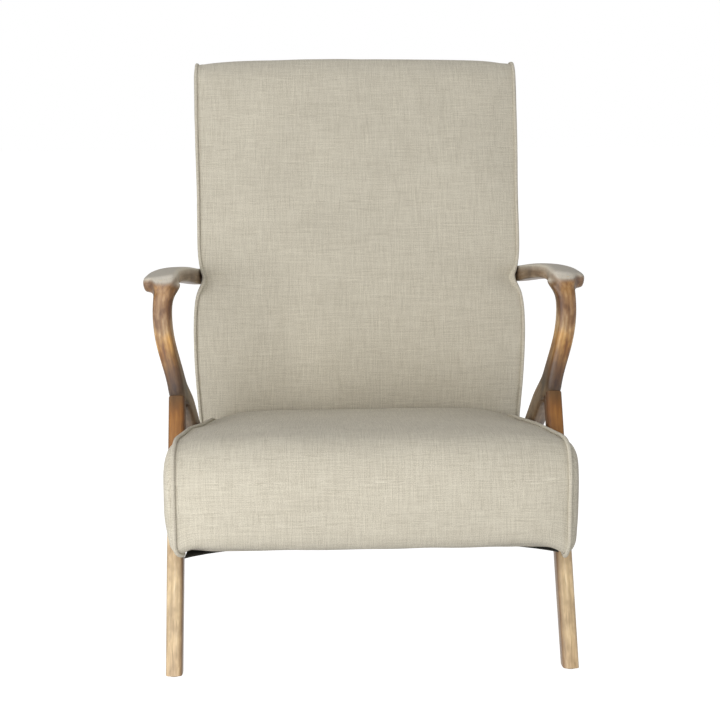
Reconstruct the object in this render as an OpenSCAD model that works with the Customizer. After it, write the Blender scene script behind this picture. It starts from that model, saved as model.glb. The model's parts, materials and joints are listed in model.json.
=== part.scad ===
// High-back lounge chair with an upholstered seat and back hung between two sculpted wooden side frames.
// Millimetres. X is across the chair, Y runs from front to back, Z is up, and the feet stand on Z = 0.
// Depths are measured from the front of the seat, and placed() centres the chair over its origin.

/* [Whole chair] */
// Height of the top edge of the back
chair_height = 968; // [920:1:1010]

/* [Side frames] */
// Height of the underside of the arm over the post
arm_under = 586; // [570:1:602]
// Height of the knee, where post, rear leg and front leg meet
knee_height = 402; // [392:1:412]
// How far the post's front face stands ahead of the seat's rear end
post_ahead = 267; // [262:1:272]
// How far the heel stands behind the seat's rear end
heel_behind = 157; // [145:1:170]
// Front-to-back depth of the post below the arm
post_depth = 37; // [33:1:42]
// Thickness of every frame member across the chair
member_w = 29; // [26:0.5:30]
// Gap between the seat's seam and the knee beside it
knee_gap = 15; // [14:0.5:18]
// How far the post stands outside the knee
post_out = 24; // [20:0.5:28]
// How far the front foot stands inside the knee
front_foot_in = 4.5; // [0:0.5:8]
// How far the inner face of the rear foot lies inside the rear seam of the seat
rear_foot_in = 13.5; // [8:0.5:14]
// Front-to-back thickness of the front leg at the knee, along the floor
front_leg_depth = 37; // [33:1:40]
// Thickness of the arm at its thickest
arm_thick = 26; // [23:1:30]
// Width of the arm at its front wing
arm_wing_w = 57; // [52:0.5:60]
// Width of the arm at its rear end
arm_end_w = 21; // [19:0.5:24]
// Drop of the arm from its crest to its rear end
arm_drop = 37; // [30:1:42]
// Height of the felt glides
glide_h = 3; // [2:0.5:4]
// Radius of the felt glides
glide_r = 11; // [9:0.5:12]

/* [Seat] */
// Height of the top of the seat at its front edge, before the crown
seat_height = 366; // [356:1:376]
// Fall of the seat top from front to rear
seat_fall = 46; // [36:1:51]
// Height of the underside of the seat
seat_under = 187; // [182:1:192]
// Depth of the seat
seat_depth = 507; // [500:1:508]
// Half width of the seat at its front seam
seat_half_w = 309; // [305:1:311]
// How much each side of the seat draws in towards the rear
seat_taper = 39; // [37:0.5:42]
// Radius of the rolled front edge of the seat
nose_r = 62; // [52:1:80]
// Crown of the seat top
seat_crown = 7; // [3:0.5:10]
// How far the seat top drops at its rear corners
corner_drop = 8; // [4:0.5:10]
// How far the padded side swells past the seam at the front
side_swell = 17; // [12:0.5:19]
// Radius of the piping cord in the welts
welt_r = 3.2; // [2.6:0.1:3.4]
// Thickness of the cover with its wadding
cover_t = 4; // [3:0.5:4.5]

/* [Seat frame] */
// Thickness of the seat rails
rail_t = 24; // [20:1:28]
// Depth of the foam over the webbing at the rear of the seat
pad_depth = 43; // [38:1:50]
// Width of the elastic webbing
web_w = 50; // [40:1:55]
// Thickness of the elastic webbing
web_t = 1.6; // [1.2:0.2:2]

/* [Back] */
// How far the lower edge of the back stands above the underside of the seat
back_rise = 25; // [20:1:30]
// Step from the seat's front seam in to the back's seam
back_step = 5; // [2:0.5:8]
// How far the sides draw in at the waist, where the arms meet the back
waist_in = 14; // [10:0.5:17]
// Crown of the front of the back
back_crown = 9; // [4:0.5:12]
// How far the lumbar swell stands ahead of the seat's rear end
lumbar_ahead = 6; // [4:0.5:8]
// How far the lumbar swell lies below the fixing of the arm
lumbar_below = 82; // [74:1:90]
// How far the top leans behind the lumbar swell
back_lean = 170; // [160:1:180]
// Thickness of the back at the lumbar swell
back_thick = 94; // [90:1:100]
// Thickness of the wooden stiles, front to back
stile_t = 28; // [24:1:30]
// Width of the wooden stiles
stile_w = 46; // [40:1:52]

/* [Fittings] */
// Radius of the bolts that hold the seat and the back
bolt_r = 4; // [3:0.5:4.5]
// Radius of the bolt heads
bolt_head_r = 7.5; // [7:0.5:8.5]
// Radius of the wooden dowels
dowel_r = 5; // [4:0.5:5.5]
// Length of the wooden dowels
dowel_l = 50; // [44:1:54]
// Thickness of the steel brackets
plate_t = 3; // [2.5:0.1:3.2]

/* [Hidden] */

wood = "#a9793f";
leg_wood = "#c9a677";
hidden_wood = "#d9c39a";
linen = "#cbc4b0";
lining = "#34342f";
foam_colour = "#e9e2c0";
webbing_colour = "#7c6f5a";
steel = "#9a9a9a";
felt = "#4a4038";

// Gap between parts that touch but are separate
fit = 0.3;
// Clearance round a bolt or a spacer
bolt_fit = 0.5;
// Clearance round a dowel
dowel_fit = 0.1;
// How far the padded side of the back swells past its seam
back_swell = 4;
// How far the seams draw in from the padded faces
seam_in = 3;
$fn = 32;

// Curve through a list of [position, value] pairs, smooth at every pair.
function seg(p, x, i = 0) = i >= len(p) - 2 || x < p[i + 1][0] ? i : seg(p, x, i + 1);
function slope(p, i) =
  i == 0 ? (p[1][1] - p[0][1]) / (p[1][0] - p[0][0])
  : i == len(p) - 1 ? (p[i][1] - p[i - 1][1]) / (p[i][0] - p[i - 1][0])
  : (p[i + 1][1] - p[i - 1][1]) / (p[i + 1][0] - p[i - 1][0]);
function hermite(t, a, b, ma, mb) =
  a * (1 + 2 * t) * (1 - t) * (1 - t) + b * t * t * (3 - 2 * t)
  + ma * t * (1 - t) * (1 - t) - mb * t * t * (1 - t);
function curve(p, x) =
  let (i = seg(p, x), h = p[i + 1][0] - p[i][0], t = max(0, min(1, (x - p[i][0]) / h)))
  hermite(t, p[i][1], p[i + 1][1], h * slope(p, i), h * slope(p, i + 1));
function mix(a, b, t) = a + (b - a) * t;
function steps(a, b, n) = [for (i = [0 : n]) mix(a, b, i / n)];

// Closed skin over rings with the same number of points. Opposite points of an end ring are paired,
// so a ring that isn't flat still closes.
module skin(rings) {
  n = len(rings[0]);
  m = len(rings);
  points = [for (r = rings) for (p = r) p];
  sides = [for (j = [0 : m - 2]) for (i = [0 : n - 1])
    let (a = j * n + i, b = j * n + (i + 1) % n) each [[a, b, a + n], [b, b + n, a + n]]];
  function cap(o) = [for (i = [0 : n / 2 - 1])
    let (a = o + i, b = o + i + 1, c = o + n - 1 - i, d = o + (n - i) % n)
    each (i == 0 ? [[a, c, b]] : i == n / 2 - 1 ? [[a, d, b]] : [[a, d, c], [a, c, b]])];
  function flipped(t) = [for (f = t) [f[2], f[1], f[0]]];
  polyhedron(points, concat(sides, cap(0), flipped(cap((m - 1) * n))));
}

// Cross-section with softened corners, centred on c and spanned by the half axes u and v.
section_points = 16;
function bend(t, e) = sign(t) * pow(abs(t), e);
function section(c, u, v, softness = 0.5) = [for (i = [0 : section_points - 1])
  let (a = 360 * (i + 0.5) / section_points) c + u * bend(cos(a), softness) + v * bend(sin(a), softness)];

// Seat plan: straight at the front, then drawn in evenly from taper_from to the rear.
taper_from = 110;
seat_rear_half_w = seat_half_w - seat_taper;
seat_line = (seat_half_w - 8 - seat_rear_half_w) / (seat_depth - taper_from);
function seat_taper_w(y) = seat_half_w - 8 - seat_line * (y - taper_from);
function seat_w(y) = y >= taper_from ? seat_taper_w(y)
  : curve([[0, seat_half_w - 1], [40, seat_half_w], [taper_from, seat_taper_w(taper_from)]], y);

// Places that follow the seat and the arm.
post_y = seat_depth - post_ahead;
heel_y = seat_depth + heel_behind;
lumbar_y = seat_depth - lumbar_ahead;
knee_x = seat_w(post_y) + knee_gap + member_w / 2;
post_x = knee_x + post_out;
front_foot_x = knee_x - front_foot_in;
rear_foot_x = seat_rear_half_w - rear_foot_in + member_w / 2;
back_half_w = seat_half_w - back_step;
back_low = seat_under + back_rise;
arm_crest = arm_under + arm_thick;
arm_bolt_z = arm_crest - arm_drop - arm_thick / 2;
lumbar_z = arm_bolt_z - lumbar_below;
back_top = chair_height - 6;
frame_in = cover_t + 2;

// Side profile of the back: a front line and a rear line, both given by height.
function low(k) = mix(back_low, lumbar_z, k);
function at(k) = mix(lumbar_z, back_top, k);
front_line = [[back_low, lumbar_y + 20], [low(0.33), lumbar_y + 16], [low(0.66), lumbar_y + 5],
  [lumbar_z, lumbar_y],
  for (r = [[0.23, 0.1], [0.46, 0.35], [0.68, 0.62], [0.88, 0.86], [1, 1]]) [at(r[0]), lumbar_y + r[1] * back_lean]];
rear_line = [[back_low, lumbar_y + back_thick - 6], [low(0.33), lumbar_y + back_thick - 4],
  [low(0.66), lumbar_y + back_thick - 2], [lumbar_z, lumbar_y + back_thick],
  for (r = [[0.23, 0.1, 0], [0.46, 0.34, 2], [0.68, 0.58, 3], [0.88, 0.8, 5], [1, 0.93, 6]])
    [at(r[0]), lumbar_y + back_thick + r[1] * back_lean - r[2]]];
arm_bolt_y = curve(rear_line, arm_bolt_z) - frame_in - stile_t / 2;

// Depth from the front of the seat to the back of the top edge
chair_depth = lumbar_y + back_thick + 0.93 * back_lean - 10;
module placed() {
  translate([0, -chair_depth / 2, 0]) children();
}
module mirrored() {
  mirror([1, 0, 0]) children();
}
// Solid of a side profile, given as [depth, height] points, from x0 to x1.
module across(profile, x0, x1) {
  translate([x0, 0, 0]) rotate([90, 0, 90]) linear_extrude(x1 - x0) polygon(profile);
}
module rod_x(x0, x1, y, z, r) {
  translate([x0, y, z]) rotate([0, 90, 0]) cylinder(h = x1 - x0, r = r);
}

// Rear leg and post: one blank from the arm to the heel, as rings from its front edge to its rear edge.
leg_slope = (knee_height - glide_h) / (heel_y - post_y);
leg_angle = atan(leg_slope);
post_h = arm_under - knee_height;
function lower_edge(u) = [post_y + u, knee_height - u * leg_slope];
flare = 8;
heel_l = 47;
// Each row: front or lower edge [y, z], rear or upper edge [y, z], middle x, half thickness
rear_leg_rows = [
  for (r = [
      [0, post_depth + 12, post_x - 8, member_w / 2 + 6.5],
      [flare, post_depth + 5.5, post_x - 3.4, member_w / 2 + 2.2],
      [2.5 * flare, post_depth + 1.5, post_x - 1.2, member_w / 2 + 0.6],
      [0.25 * post_h, post_depth, post_x, member_w / 2],
      [0.44 * post_h, post_depth + 3, mix(post_x, knee_x, 0.1), member_w / 2],
      [0.62 * post_h, post_depth + 6, mix(post_x, knee_x, 0.38), member_w / 2],
      [0.77 * post_h, post_depth + 12, mix(post_x, knee_x, 0.7), member_w / 2],
      [0.89 * post_h, post_depth + 20, mix(post_x, knee_x, 0.91), member_w / 2]])
    [[post_y, arm_under - r[0]], [post_y + r[1], arm_under - r[0] * 0.965], r[2], r[3]],
  [lower_edge(0), [post_y + 67, knee_height + 16], knee_x, member_w / 2],
  [lower_edge(8), [post_y + 77, knee_height + 6], knee_x - 2, member_w / 2],
  for (r = [[20, 68, 0], [42, 65, 0.5], [80, 61, 1], [170, 58, 1], [290, 55, 1], [380, 52, 0.5]])
    let (a = lower_edge(r[0]))
    [a, a + [r[1], 4], mix(knee_x, rear_foot_x, 0.12 + 0.88 * (r[0] + 10) / (heel_y - post_y)), member_w / 2],
  [[heel_y, glide_h], [heel_y + heel_l, glide_h], rear_foot_x, member_w / 2 - 1]];
module frame_blank(rows) {
  skin([for (r = rows)
    let (c = (r[0] + r[1]) / 2, h = (r[1] - r[0]) / 2)
    section([r[2], c[0], c[1]], [r[3], 0, 0], [0, h[0], h[1]])]);
}

// Knee joint: the front leg stands in a shallow flat seat cut into the knee.
seat_cut = 4;
leg_rake = (post_y - 2) / knee_height;
knee_normal = [sin(leg_angle), cos(leg_angle)];
knee_along = [cos(leg_angle), -sin(leg_angle)];
joint_origin = lower_edge(0) + knee_normal * seat_cut;
function leg_front(z) = 2 + leg_rake * (z - 3);
function joint_z(y) = joint_origin[1] - (y - joint_origin[0]) * leg_slope;
joint_rear_y = (front_leg_depth + 2 - 3 * leg_rake + leg_rake * (joint_origin[1] + joint_origin[0] * leg_slope))
  / (1 + leg_rake * leg_slope);
joint_front = [post_y - 30, joint_z(post_y - 30)];
joint_rear = [joint_rear_y, joint_z(joint_rear_y)];
joint_middle = (joint_origin + joint_rear) / 2;
joint_reach = knee_height / 2;
// The two knee dowels stand square to the joint, a little behind its middle and deeper in the knee than in
// the front leg, so that wood is left in front of them.
knee_dowel_pitch = 12;
knee_dowel_back = 2;
knee_dowel_up = 5;
knee_dowel_x = knee_x - 0.5;

module knee_dowel_at(i, r, l) {
  p = joint_middle + knee_along * (i * knee_dowel_pitch / 2 + knee_dowel_back) + knee_normal * knee_dowel_up;
  translate([knee_dowel_x, p[0], p[1]]) rotate([-leg_angle, 0, 0]) cylinder(h = l, r = r, center = true);
}
module knee_dowel_set(r, l) {
  for (i = [-1, 1]) knee_dowel_at(i, r, l);
}
arm_dowel_y = post_y + post_depth / 2 + 4;
arm_dowel_pitch = 20;
arm_dowel_x = post_x - 3;
// Upright dowels stand a little more than half their length in the post, under the arm's top skin.
arm_dowel_up = 15;
module arm_dowel_set(r, extra) {
  for (i = [-1, 1])
    translate([arm_dowel_x, arm_dowel_y + i * arm_dowel_pitch / 2, arm_under + arm_dowel_up - dowel_l - extra])
      cylinder(h = dowel_l + 2 * extra, r = r);
}

// Bolts through the side frame into the seat rail and the back stile.
// The padded side swells ahead of the front leg and lies flat beside the legs.
leg_meets = leg_front(seat_under);
function swell(y) = curve([[0, side_swell], [leg_meets - 50, side_swell - 1], [leg_meets, 5],
  [leg_meets + 38, 4], [seat_depth, 4]], y);
// Seat frame under the cover. The rails stand on the hem and carry the webbing.
rail_low = seat_under + cover_t + seam_in + 3;
rail_h = seat_height - seat_fall - pad_depth - rail_low;
rail_top = rail_low + rail_h;
function leg_middle_y(z) = post_y + 31 + (knee_height + 2 - z) / leg_slope;
function leg_inner(y) = mix(knee_x, rear_foot_x, 0.12 + 0.88 * (y - 21 - post_y) / (heel_y - post_y)) - member_w / 2;
front_leg_mid_z = rail_low + 0.45 * rail_h;
front_leg_mid_y = leg_front(front_leg_mid_z) + front_leg_depth / 2;
front_leg_inner = mix(front_foot_x, knee_x, front_leg_mid_z / knee_height) - member_w / 2;
// The rearmost bolt passes just ahead of the rear rail, the one before it higher up along the leg.
nut_r = 6;
rear_rail_y = seat_depth - cover_t - seam_in - 1 - rail_t;
rear_bolt_y = rear_rail_y - nut_r - 4.4;
rear_bolt_z = knee_height + 2 - (rear_bolt_y - post_y - 31) * leg_slope;
// Each row: depth, height, inner face of the wood
seat_bolt_rows = [[front_leg_mid_y, front_leg_mid_z, front_leg_inner],
  for (z = [mix(rear_bolt_z, rail_top, 0.55), rear_bolt_z]) let (y = leg_middle_y(z)) [y, z, leg_inner(y)]];
function rail_outer(y) = seat_w(y) - 2;

module seat_bolt_holes() {
  for (b = seat_bolt_rows) {
    rod_x(b[2] - 60, b[2] + 60, b[0], b[1], bolt_r + bolt_fit);
    rod_x(b[2] + member_w - 6, b[2] + 60, b[0], b[1], bolt_head_r + bolt_fit);
  }
}

module rear_leg() {
  color(wood) difference() {
    frame_blank(rear_leg_rows);
    across([joint_front, joint_rear, joint_rear - 70 * [sin(atan(leg_rake)), cos(atan(leg_rake))],
      [post_y - 90, knee_height - 75]], knee_x - member_w, knee_x + member_w);
    knee_dowel_set(dowel_r + dowel_fit, dowel_l + 2);
    arm_dowel_set(dowel_r + dowel_fit, 1);
    seat_bolt_holes();
  }
}
module rear_leg_left() {
  placed() mirrored() rear_leg();
}
module rear_leg_right() {
  placed() rear_leg();
}

module front_leg() {
  color(leg_wood) difference() {
    skin([for (r = [[glide_h, -4, 0.5], [glide_h + 8, -2.5, 1], [0.37 * knee_height, -1, 1], [0.75 * knee_height, 0, 1],
      [1.17 * knee_height, 0, 1]])
      let (z = r[0], y = leg_front(z) + 1 - r[2], d = front_leg_depth + r[1],
        w = member_w / 2 - (z < 20 ? 1 : 0.3))
      section([mix(front_foot_x, knee_x, z / knee_height), y + d / 2, z], [w, 0, 0], [0, d / 2, 0])]);
    across([joint_front + joint_reach * [-1, leg_slope], joint_rear + joint_reach * [1, -leg_slope],
      joint_rear + joint_reach * [1, 1], joint_front + joint_reach * [-1, 1]], knee_x - 40, knee_x + 40);
    knee_dowel_set(dowel_r + dowel_fit, dowel_l + 2);
    seat_bolt_holes();
  }
}
module front_leg_left() {
  placed() mirrored() front_leg();
}
module front_leg_right() {
  placed() front_leg();
}

// Arm: a paddle that starts at a wing outside the post, bows over a crest and falls to the side of the back.
arm_in = post_x - 29;
arm_out = arm_in + arm_wing_w;
arm_end_x = back_half_w - waist_in + back_swell + 2;
arm_end_y = arm_bolt_y + 21.5;
function arm_y(k) = mix(post_y, arm_end_y, k);
// Each row: depth, inner x, outer x, top height, bottom height, droop of the outer edge
arm_rows = [
  [post_y + 1, post_x - 18, post_x + 8, arm_crest - 9, arm_under + 5, 0],
  [post_y + 5, post_x - 22, post_x + 11.5, arm_crest - 4.5, arm_under, 0],
  [post_y + 19, post_x - 26, post_x + 14, arm_crest - 2, arm_under - 1, 1],
  [post_y + 25, post_x - 28, arm_out - 4, arm_crest - 1.6, arm_under - 1, 3],
  [post_y + 30, arm_in, arm_out - 1, arm_crest - 1.2, arm_under - 1.5, 4],
  [post_y + 48, arm_in, arm_out, arm_crest - 0.4, arm_under - 1, 4.5],
  [arm_y(0.245), arm_in, arm_out - 4, arm_crest, arm_crest - arm_thick, 3],
  for (r = [[0.42, 0.16, 0.38, 0.27], [0.61, 0.46, 0.8, 0.58], [0.79, 0.78, 1, 0.85]])
    let (z = arm_crest - r[1] * arm_drop)
    [arm_y(r[0]), mix(arm_in, arm_end_x, r[2]), mix(arm_out - 4, arm_end_x + arm_end_w, r[3]), z, z - arm_thick, 0],
  for (r = [[23, 0, 0, 0, 1], [6, 0, -2, 1, 2], [0, 4, -6, 6, 7]])
    [arm_end_y - r[0], arm_end_x + r[1], arm_end_x + arm_end_w + r[2], arm_crest - arm_drop - r[3],
      arm_crest - arm_drop - arm_thick + r[4], 0]];

module arm() {
  color(wood) difference() {
    skin([for (r = arm_rows)
      let (x = (r[1] + r[2]) / 2, half = (r[2] - r[1]) / 2,
        ring = section([x, r[0], (r[3] + r[4]) / 2], [0, 0, (r[3] - r[4]) / 2], [half, 0, 0]))
      [for (p = ring) p - [0, 0, r[5] * max(0, (p[0] - x) / half)]]]);
    translate([post_x - 45, post_y - 5, arm_under - 30]) cube([60, post_depth + 19, 30]);
    arm_dowel_set(dowel_r + dowel_fit, 1);
    rod_x(arm_end_x - 20, arm_end_x + 60, arm_bolt_y, arm_bolt_z, bolt_r + bolt_fit);
    rod_x(arm_end_x + 17, arm_end_x + 60, arm_bolt_y, arm_bolt_z, bolt_head_r + bolt_fit);
  }
}
module arm_left() {
  placed() mirrored() arm();
}
module arm_right() {
  placed() arm();
}

module arm_dowels() {
  color(hidden_wood) placed() {
    arm_dowel_set(dowel_r, 0);
    mirrored() arm_dowel_set(dowel_r, 0);
  }
}
module knee_dowels() {
  color(hidden_wood) placed() {
    knee_dowel_set(dowel_r, dowel_l);
    mirrored() knee_dowel_set(dowel_r, dowel_l);
  }
}
front_glide_y = leg_front(glide_h) + (front_leg_depth - 4) / 2 + 0.5;
rear_glide_y = heel_y + heel_l / 2;
module foot_glides() {
  color(felt) placed() for (p = [[front_foot_x, front_glide_y], [rear_foot_x, rear_glide_y]])
    for (s = [-1, 1]) translate([s * p[0], p[1], 0]) cylinder(h = glide_h, r = glide_r);
}

// Seat upholstery. A loop is the side profile of the seat, drawn in by d from the seam line. It starts at
// the middle of the front, goes over the nose and the top to the rear, and comes back underneath.
front_low_r = 26;
front_lift = 14;
nose_steps = 7;
run_steps = 7;
heel_steps = 5;
function arc(cy, cz, r, a0, a1, n) = [for (i = [0 : n - 1])
  let (a = mix(a0, a1, (i + 0.5) / n)) [cy + r * cos(a), cz + r * sin(a)]];
function run(a, b, n) = [for (i = [1 : n]) mix(a, b, i / (n + 1))];
function seat_loop(d) =
  let (rn = max(6, nose_r - d), rl = max(5, front_low_r - d), rr = max(5, 22 - d), rb = max(2, 7 - d),
    zf = seat_height - d, zr = seat_height - seat_fall - d, zu = seat_under + d,
    y0 = d, y1 = seat_depth - d)
  concat(
    [[y0, mix(zu, zf, 0.45)]],
    arc(y0 + rn, zf - rn, rn, 180, 90, nose_steps),
    run([y0 + rn, zf], [y1 - rr, zr], run_steps),
    arc(y1 - rr, zr - rr, rr, 90, 0, heel_steps),
    [[y1, mix(zu, zr, 0.5)]],
    arc(y1 - rb, zu + rb, rb, 0, -90, heel_steps),
    run([y1 - rb, zu], [y0 + rn, zu], run_steps),
    arc(y0 + rl, zu + rl, rl, 270, 180, nose_steps));
function share(t) = max(0, min(1, t));
seat_middle = (seat_under + seat_height) / 2;
// The lower edge of the front is drawn up in the middle.
function lift_at(y, z) = front_lift * share((70 - y) / 50) * share((seat_middle - z) / 60);
// The rear corners of the top drop towards the seams.
function drop_at(y, s) = corner_drop * share((abs(s) - 0.85) / 0.15) * share((y - 300) / 200);
// A point of the loop carried to the station s, from -1 at one seam to 1 at the other.
function seat_point(p, s, x_out = 0) =
  let (e = 1 - s * s * s * s,
    up = p[1] > seat_middle
      ? seat_crown * e * min(1, p[0] / nose_r) * min(1, (seat_depth - p[0]) / 60) - drop_at(p[0], s)
      : lift_at(p[0], p[1]) * (1 - pow(abs(s), 8)),
    out = 5 * e * share(1 - p[0] / 40) * mix(0.6, 1, share((p[1] - seat_middle + 60) / 120)))
  [s * seat_w(p[0]) + sign(s) * x_out, p[0] - out + 3 * max(0, 1 - p[0] / 40), p[1] + up];
seat_stations = [-1, -0.93, -0.82, -0.6, -0.3, 0, 0.3, 0.6, 0.82, 0.93, 1];
function seam_d(s) = seam_in * pow(max(0, (abs(s) - 0.8) / 0.2), 2);
// Points of the loop that the cover takes: hem, front, top and rear, without the middle of the underside.
function picked(loop, from, count) = [for (i = [0 : count - 1]) loop[(from + i) % len(loop)]];
function reversed(p) = [for (i = [len(p) - 1 : -1 : 0]) p[i]];
hem_from = 32;
hem_count = 35;

module seat_cover() {
  color(linen) placed() difference() {
    skin([for (s = seat_stations)
      let (d = seam_d(s), outer = picked(seat_loop(d), hem_from, hem_count),
        inner = picked(seat_loop(d + cover_t), hem_from, hem_count))
      [for (p = concat(outer, reversed(inner))) seat_point(p, s)]]);
    bracket_bolt_set(bolt_r + bolt_fit, 1);
  }
}
// Each row: how far the ring draws in, and its share of the swell
side_rings = [[seam_in, 0], [seam_in + 2, 0.4], [seam_in + 7, 0.72], [seam_in + 17, 0.93], [seam_in + 36, 1]];
module seat_side_panel() {
  color(linen) difference() {
    skin([for (r = side_rings)
      [for (p = seat_loop(r[0])) seat_point(p, 1, fit + swell(p[0]) * r[1])]]);
    for (b = seat_bolt_rows) rod_x(b[2] - 60, b[2] + 20, b[0], b[1], spacer_r + bolt_fit);
  }
}
module seat_side_panel_left() {
  placed() mirrored() seat_side_panel();
}
module seat_side_panel_right() {
  placed() seat_side_panel();
}

// Round cord along a closed path of points, carried in the plane of each point's neighbours.
cord_points = 6;
function unit(v) = v / norm(v);
module cord_loop(path, r) {
  n = len(path);
  points = [for (i = [0 : n - 1])
    let (t = unit(path[(i + 1) % n] - path[(i + n - 1) % n]), u = unit(cross(t, [1, 0, 0])), v = cross(u, t))
    for (k = [0 : cord_points - 1]) path[i] + r * (u * cos(360 * k / cord_points) + v * sin(360 * k / cord_points))];
  polyhedron(points, [for (i = [0 : n - 1]) for (k = [0 : cord_points - 1])
    let (a = i * cord_points + k, b = i * cord_points + (k + 1) % cord_points,
      c = ((i + 1) % n) * cord_points + k, d = ((i + 1) % n) * cord_points + (k + 1) % cord_points)
    each [[a, c, b], [b, c, d]]]);
}
module seat_welt() {
  color(linen) cord_loop([for (p = seat_loop(seam_in - welt_r - 2 * fit)) seat_point(p, 1, fit / 2)], welt_r);
}
module seat_welt_left() {
  placed() mirrored() seat_welt();
}
module seat_welt_right() {
  placed() seat_welt();
}

front_rail_y = 34;
front_rail_low = rail_low + 12;
function side_rail_plan(x_in) = [
  [rail_outer(front_rail_y + rail_t), front_rail_y + rail_t + fit],
  [rail_outer(110), 110],
  [rail_outer(rear_rail_y), rear_rail_y - fit],
  [rail_outer(rear_rail_y) - x_in, rear_rail_y - fit],
  [rail_outer(110) - x_in, 110],
  [rail_outer(front_rail_y + rail_t) - x_in, front_rail_y + rail_t + fit]];

module nut_holes() {
  for (b = seat_bolt_rows) rod_x(b[2] - 60, b[2] + 20, b[0], b[1], nut_r + dowel_fit);
}
module seat_side_rail() {
  color(hidden_wood) difference() {
    translate([0, 0, rail_low]) linear_extrude(rail_h) polygon(side_rail_plan(rail_t));
    nut_holes();
  }
}
module seat_side_rail_left() {
  placed() mirrored() seat_side_rail();
}
module seat_side_rail_right() {
  placed() seat_side_rail();
}
front_rail_x = seat_w(front_rail_y) - 8;
module seat_front_rail() {
  color(hidden_wood) placed() translate([-front_rail_x, front_rail_y, front_rail_low])
    cube([2 * front_rail_x, rail_t, rail_top - front_rail_low]);
}
rear_rail_x = rail_outer(rear_rail_y + rail_t) - 1;
module seat_rear_rail() {
  color(hidden_wood) placed() difference() {
    translate([-rear_rail_x, rear_rail_y, rail_low]) cube([2 * rear_rail_x, rail_t, rail_h]);
    bracket_bolt_set(bolt_r + dowel_fit, 1);
  }
}
// Glue blocks in the four corners of the seat frame.
block = 55;
module seat_corner_blocks() {
  color(hidden_wood) placed() for (s = [0, 1]) mirror([s, 0, 0]) {
    difference() {
      translate([0, 0, rail_low + 20]) linear_extrude(rail_h - 40)
        polygon([[rail_outer(110) - rail_t - fit, front_rail_y + rail_t + 2 * fit],
          [rail_outer(110) - rail_t - fit - block, front_rail_y + rail_t + 2 * fit],
          [rail_outer(110) - rail_t - fit, front_rail_y + rail_t + 2 * fit + block]]);
      translate([0, 0, rail_low]) linear_extrude(rail_h) polygon(side_rail_plan(rail_t + fit));
    }
    difference() {
      translate([0, 0, rail_low + 20]) linear_extrude(rail_h - 40)
        polygon([[rail_outer(rear_rail_y) - rail_t + 1, rear_rail_y - 2 * fit],
          [rail_outer(rear_rail_y) - rail_t - block, rear_rail_y - 2 * fit],
          [rail_outer(rear_rail_y - block) - rail_t + 1, rear_rail_y - 2 * fit - block]]);
      translate([0, 0, rail_low]) linear_extrude(rail_h) polygon(side_rail_plan(rail_t + fit));
      nut_holes();
    }
  }
}
strap_pitch = (rail_outer(rear_rail_y) - web_w) / 3;
long_straps = [for (i = [-2.5 : 2.5]) i * strap_pitch];
cross_straps = steps(front_rail_y + rail_t + web_w, rear_rail_y - web_w, 4);
module seat_webbing_long() {
  color(webbing_colour) placed() for (x = long_straps)
    translate([x - web_w / 2, front_rail_y + 3, rail_top + fit])
      cube([web_w, rear_rail_y + rail_t - front_rail_y - 6, web_t]);
}
module seat_webbing_cross() {
  color(webbing_colour) placed() for (y = cross_straps)
    translate([-rail_outer(y) + 6, y - web_w / 2, rail_top + 2 * fit + web_t])
      cube([2 * rail_outer(y) - 12, web_w, web_t]);
}
foam_low = rail_top + 3 * fit + 2 * web_t;
foam_in = cover_t + 1.6;
// The foam is narrower at the rear, where the corners of the top drop.
function foam_w(y) = seat_w(y) - 22 - (y > 300 ? 2 * corner_drop : 0);
module seat_foam() {
  top = picked(seat_loop(foam_in + 1), 33, 27);
  lip = [for (p = top) [p[0] + 3 * share(1 - p[0] / 40), p[1] + lift_at(p[0], p[1])]];
  color(foam_colour) placed() intersection() {
    across(concat(lip, [[seat_depth - foam_in - 1, foam_low], [front_rail_y - fit, foam_low],
      [front_rail_y - fit, front_rail_low]]), -seat_half_w, seat_half_w);
    translate([0, 0, seat_under]) linear_extrude(seat_height)
      polygon(concat([for (y = [0, 40, 110, seat_depth]) [foam_w(y), y]],
        [for (y = [seat_depth, 110, 40, 0]) [-foam_w(y), y]]));
  }
}
// Lining tacked over the hem. It comes further forward at the two front corners.
lining_t = 1.2;
lining_front = 88;
lining_corner = 30;
bracket_foot = 30;
plate_y = seat_depth + plate_t + fit;
lining_rear = plate_y - bracket_foot - plate_t - 2 * fit;
module dust_cover() {
  half = [for (k = [0, 0.5, 0.7, 0.8, 0.87, 0.93, 0.97])
    [k * (seat_w(60) - 8), mix(lining_front, lining_corner, pow(k, 5))]];
  rear = [[seat_w(140) - 7, 140], [seat_w(lining_rear) - 7, lining_rear]];
  color(lining) placed() translate([0, 0, seat_under - fit - lining_t]) linear_extrude(lining_t)
    polygon(concat(half, rear, reversed([for (p = concat(half, rear)) if (p[0] > 0) [-p[0], p[1]]])));
}

// Bolts, nuts and spacers of the seat.
spacer_r = 8;
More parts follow.
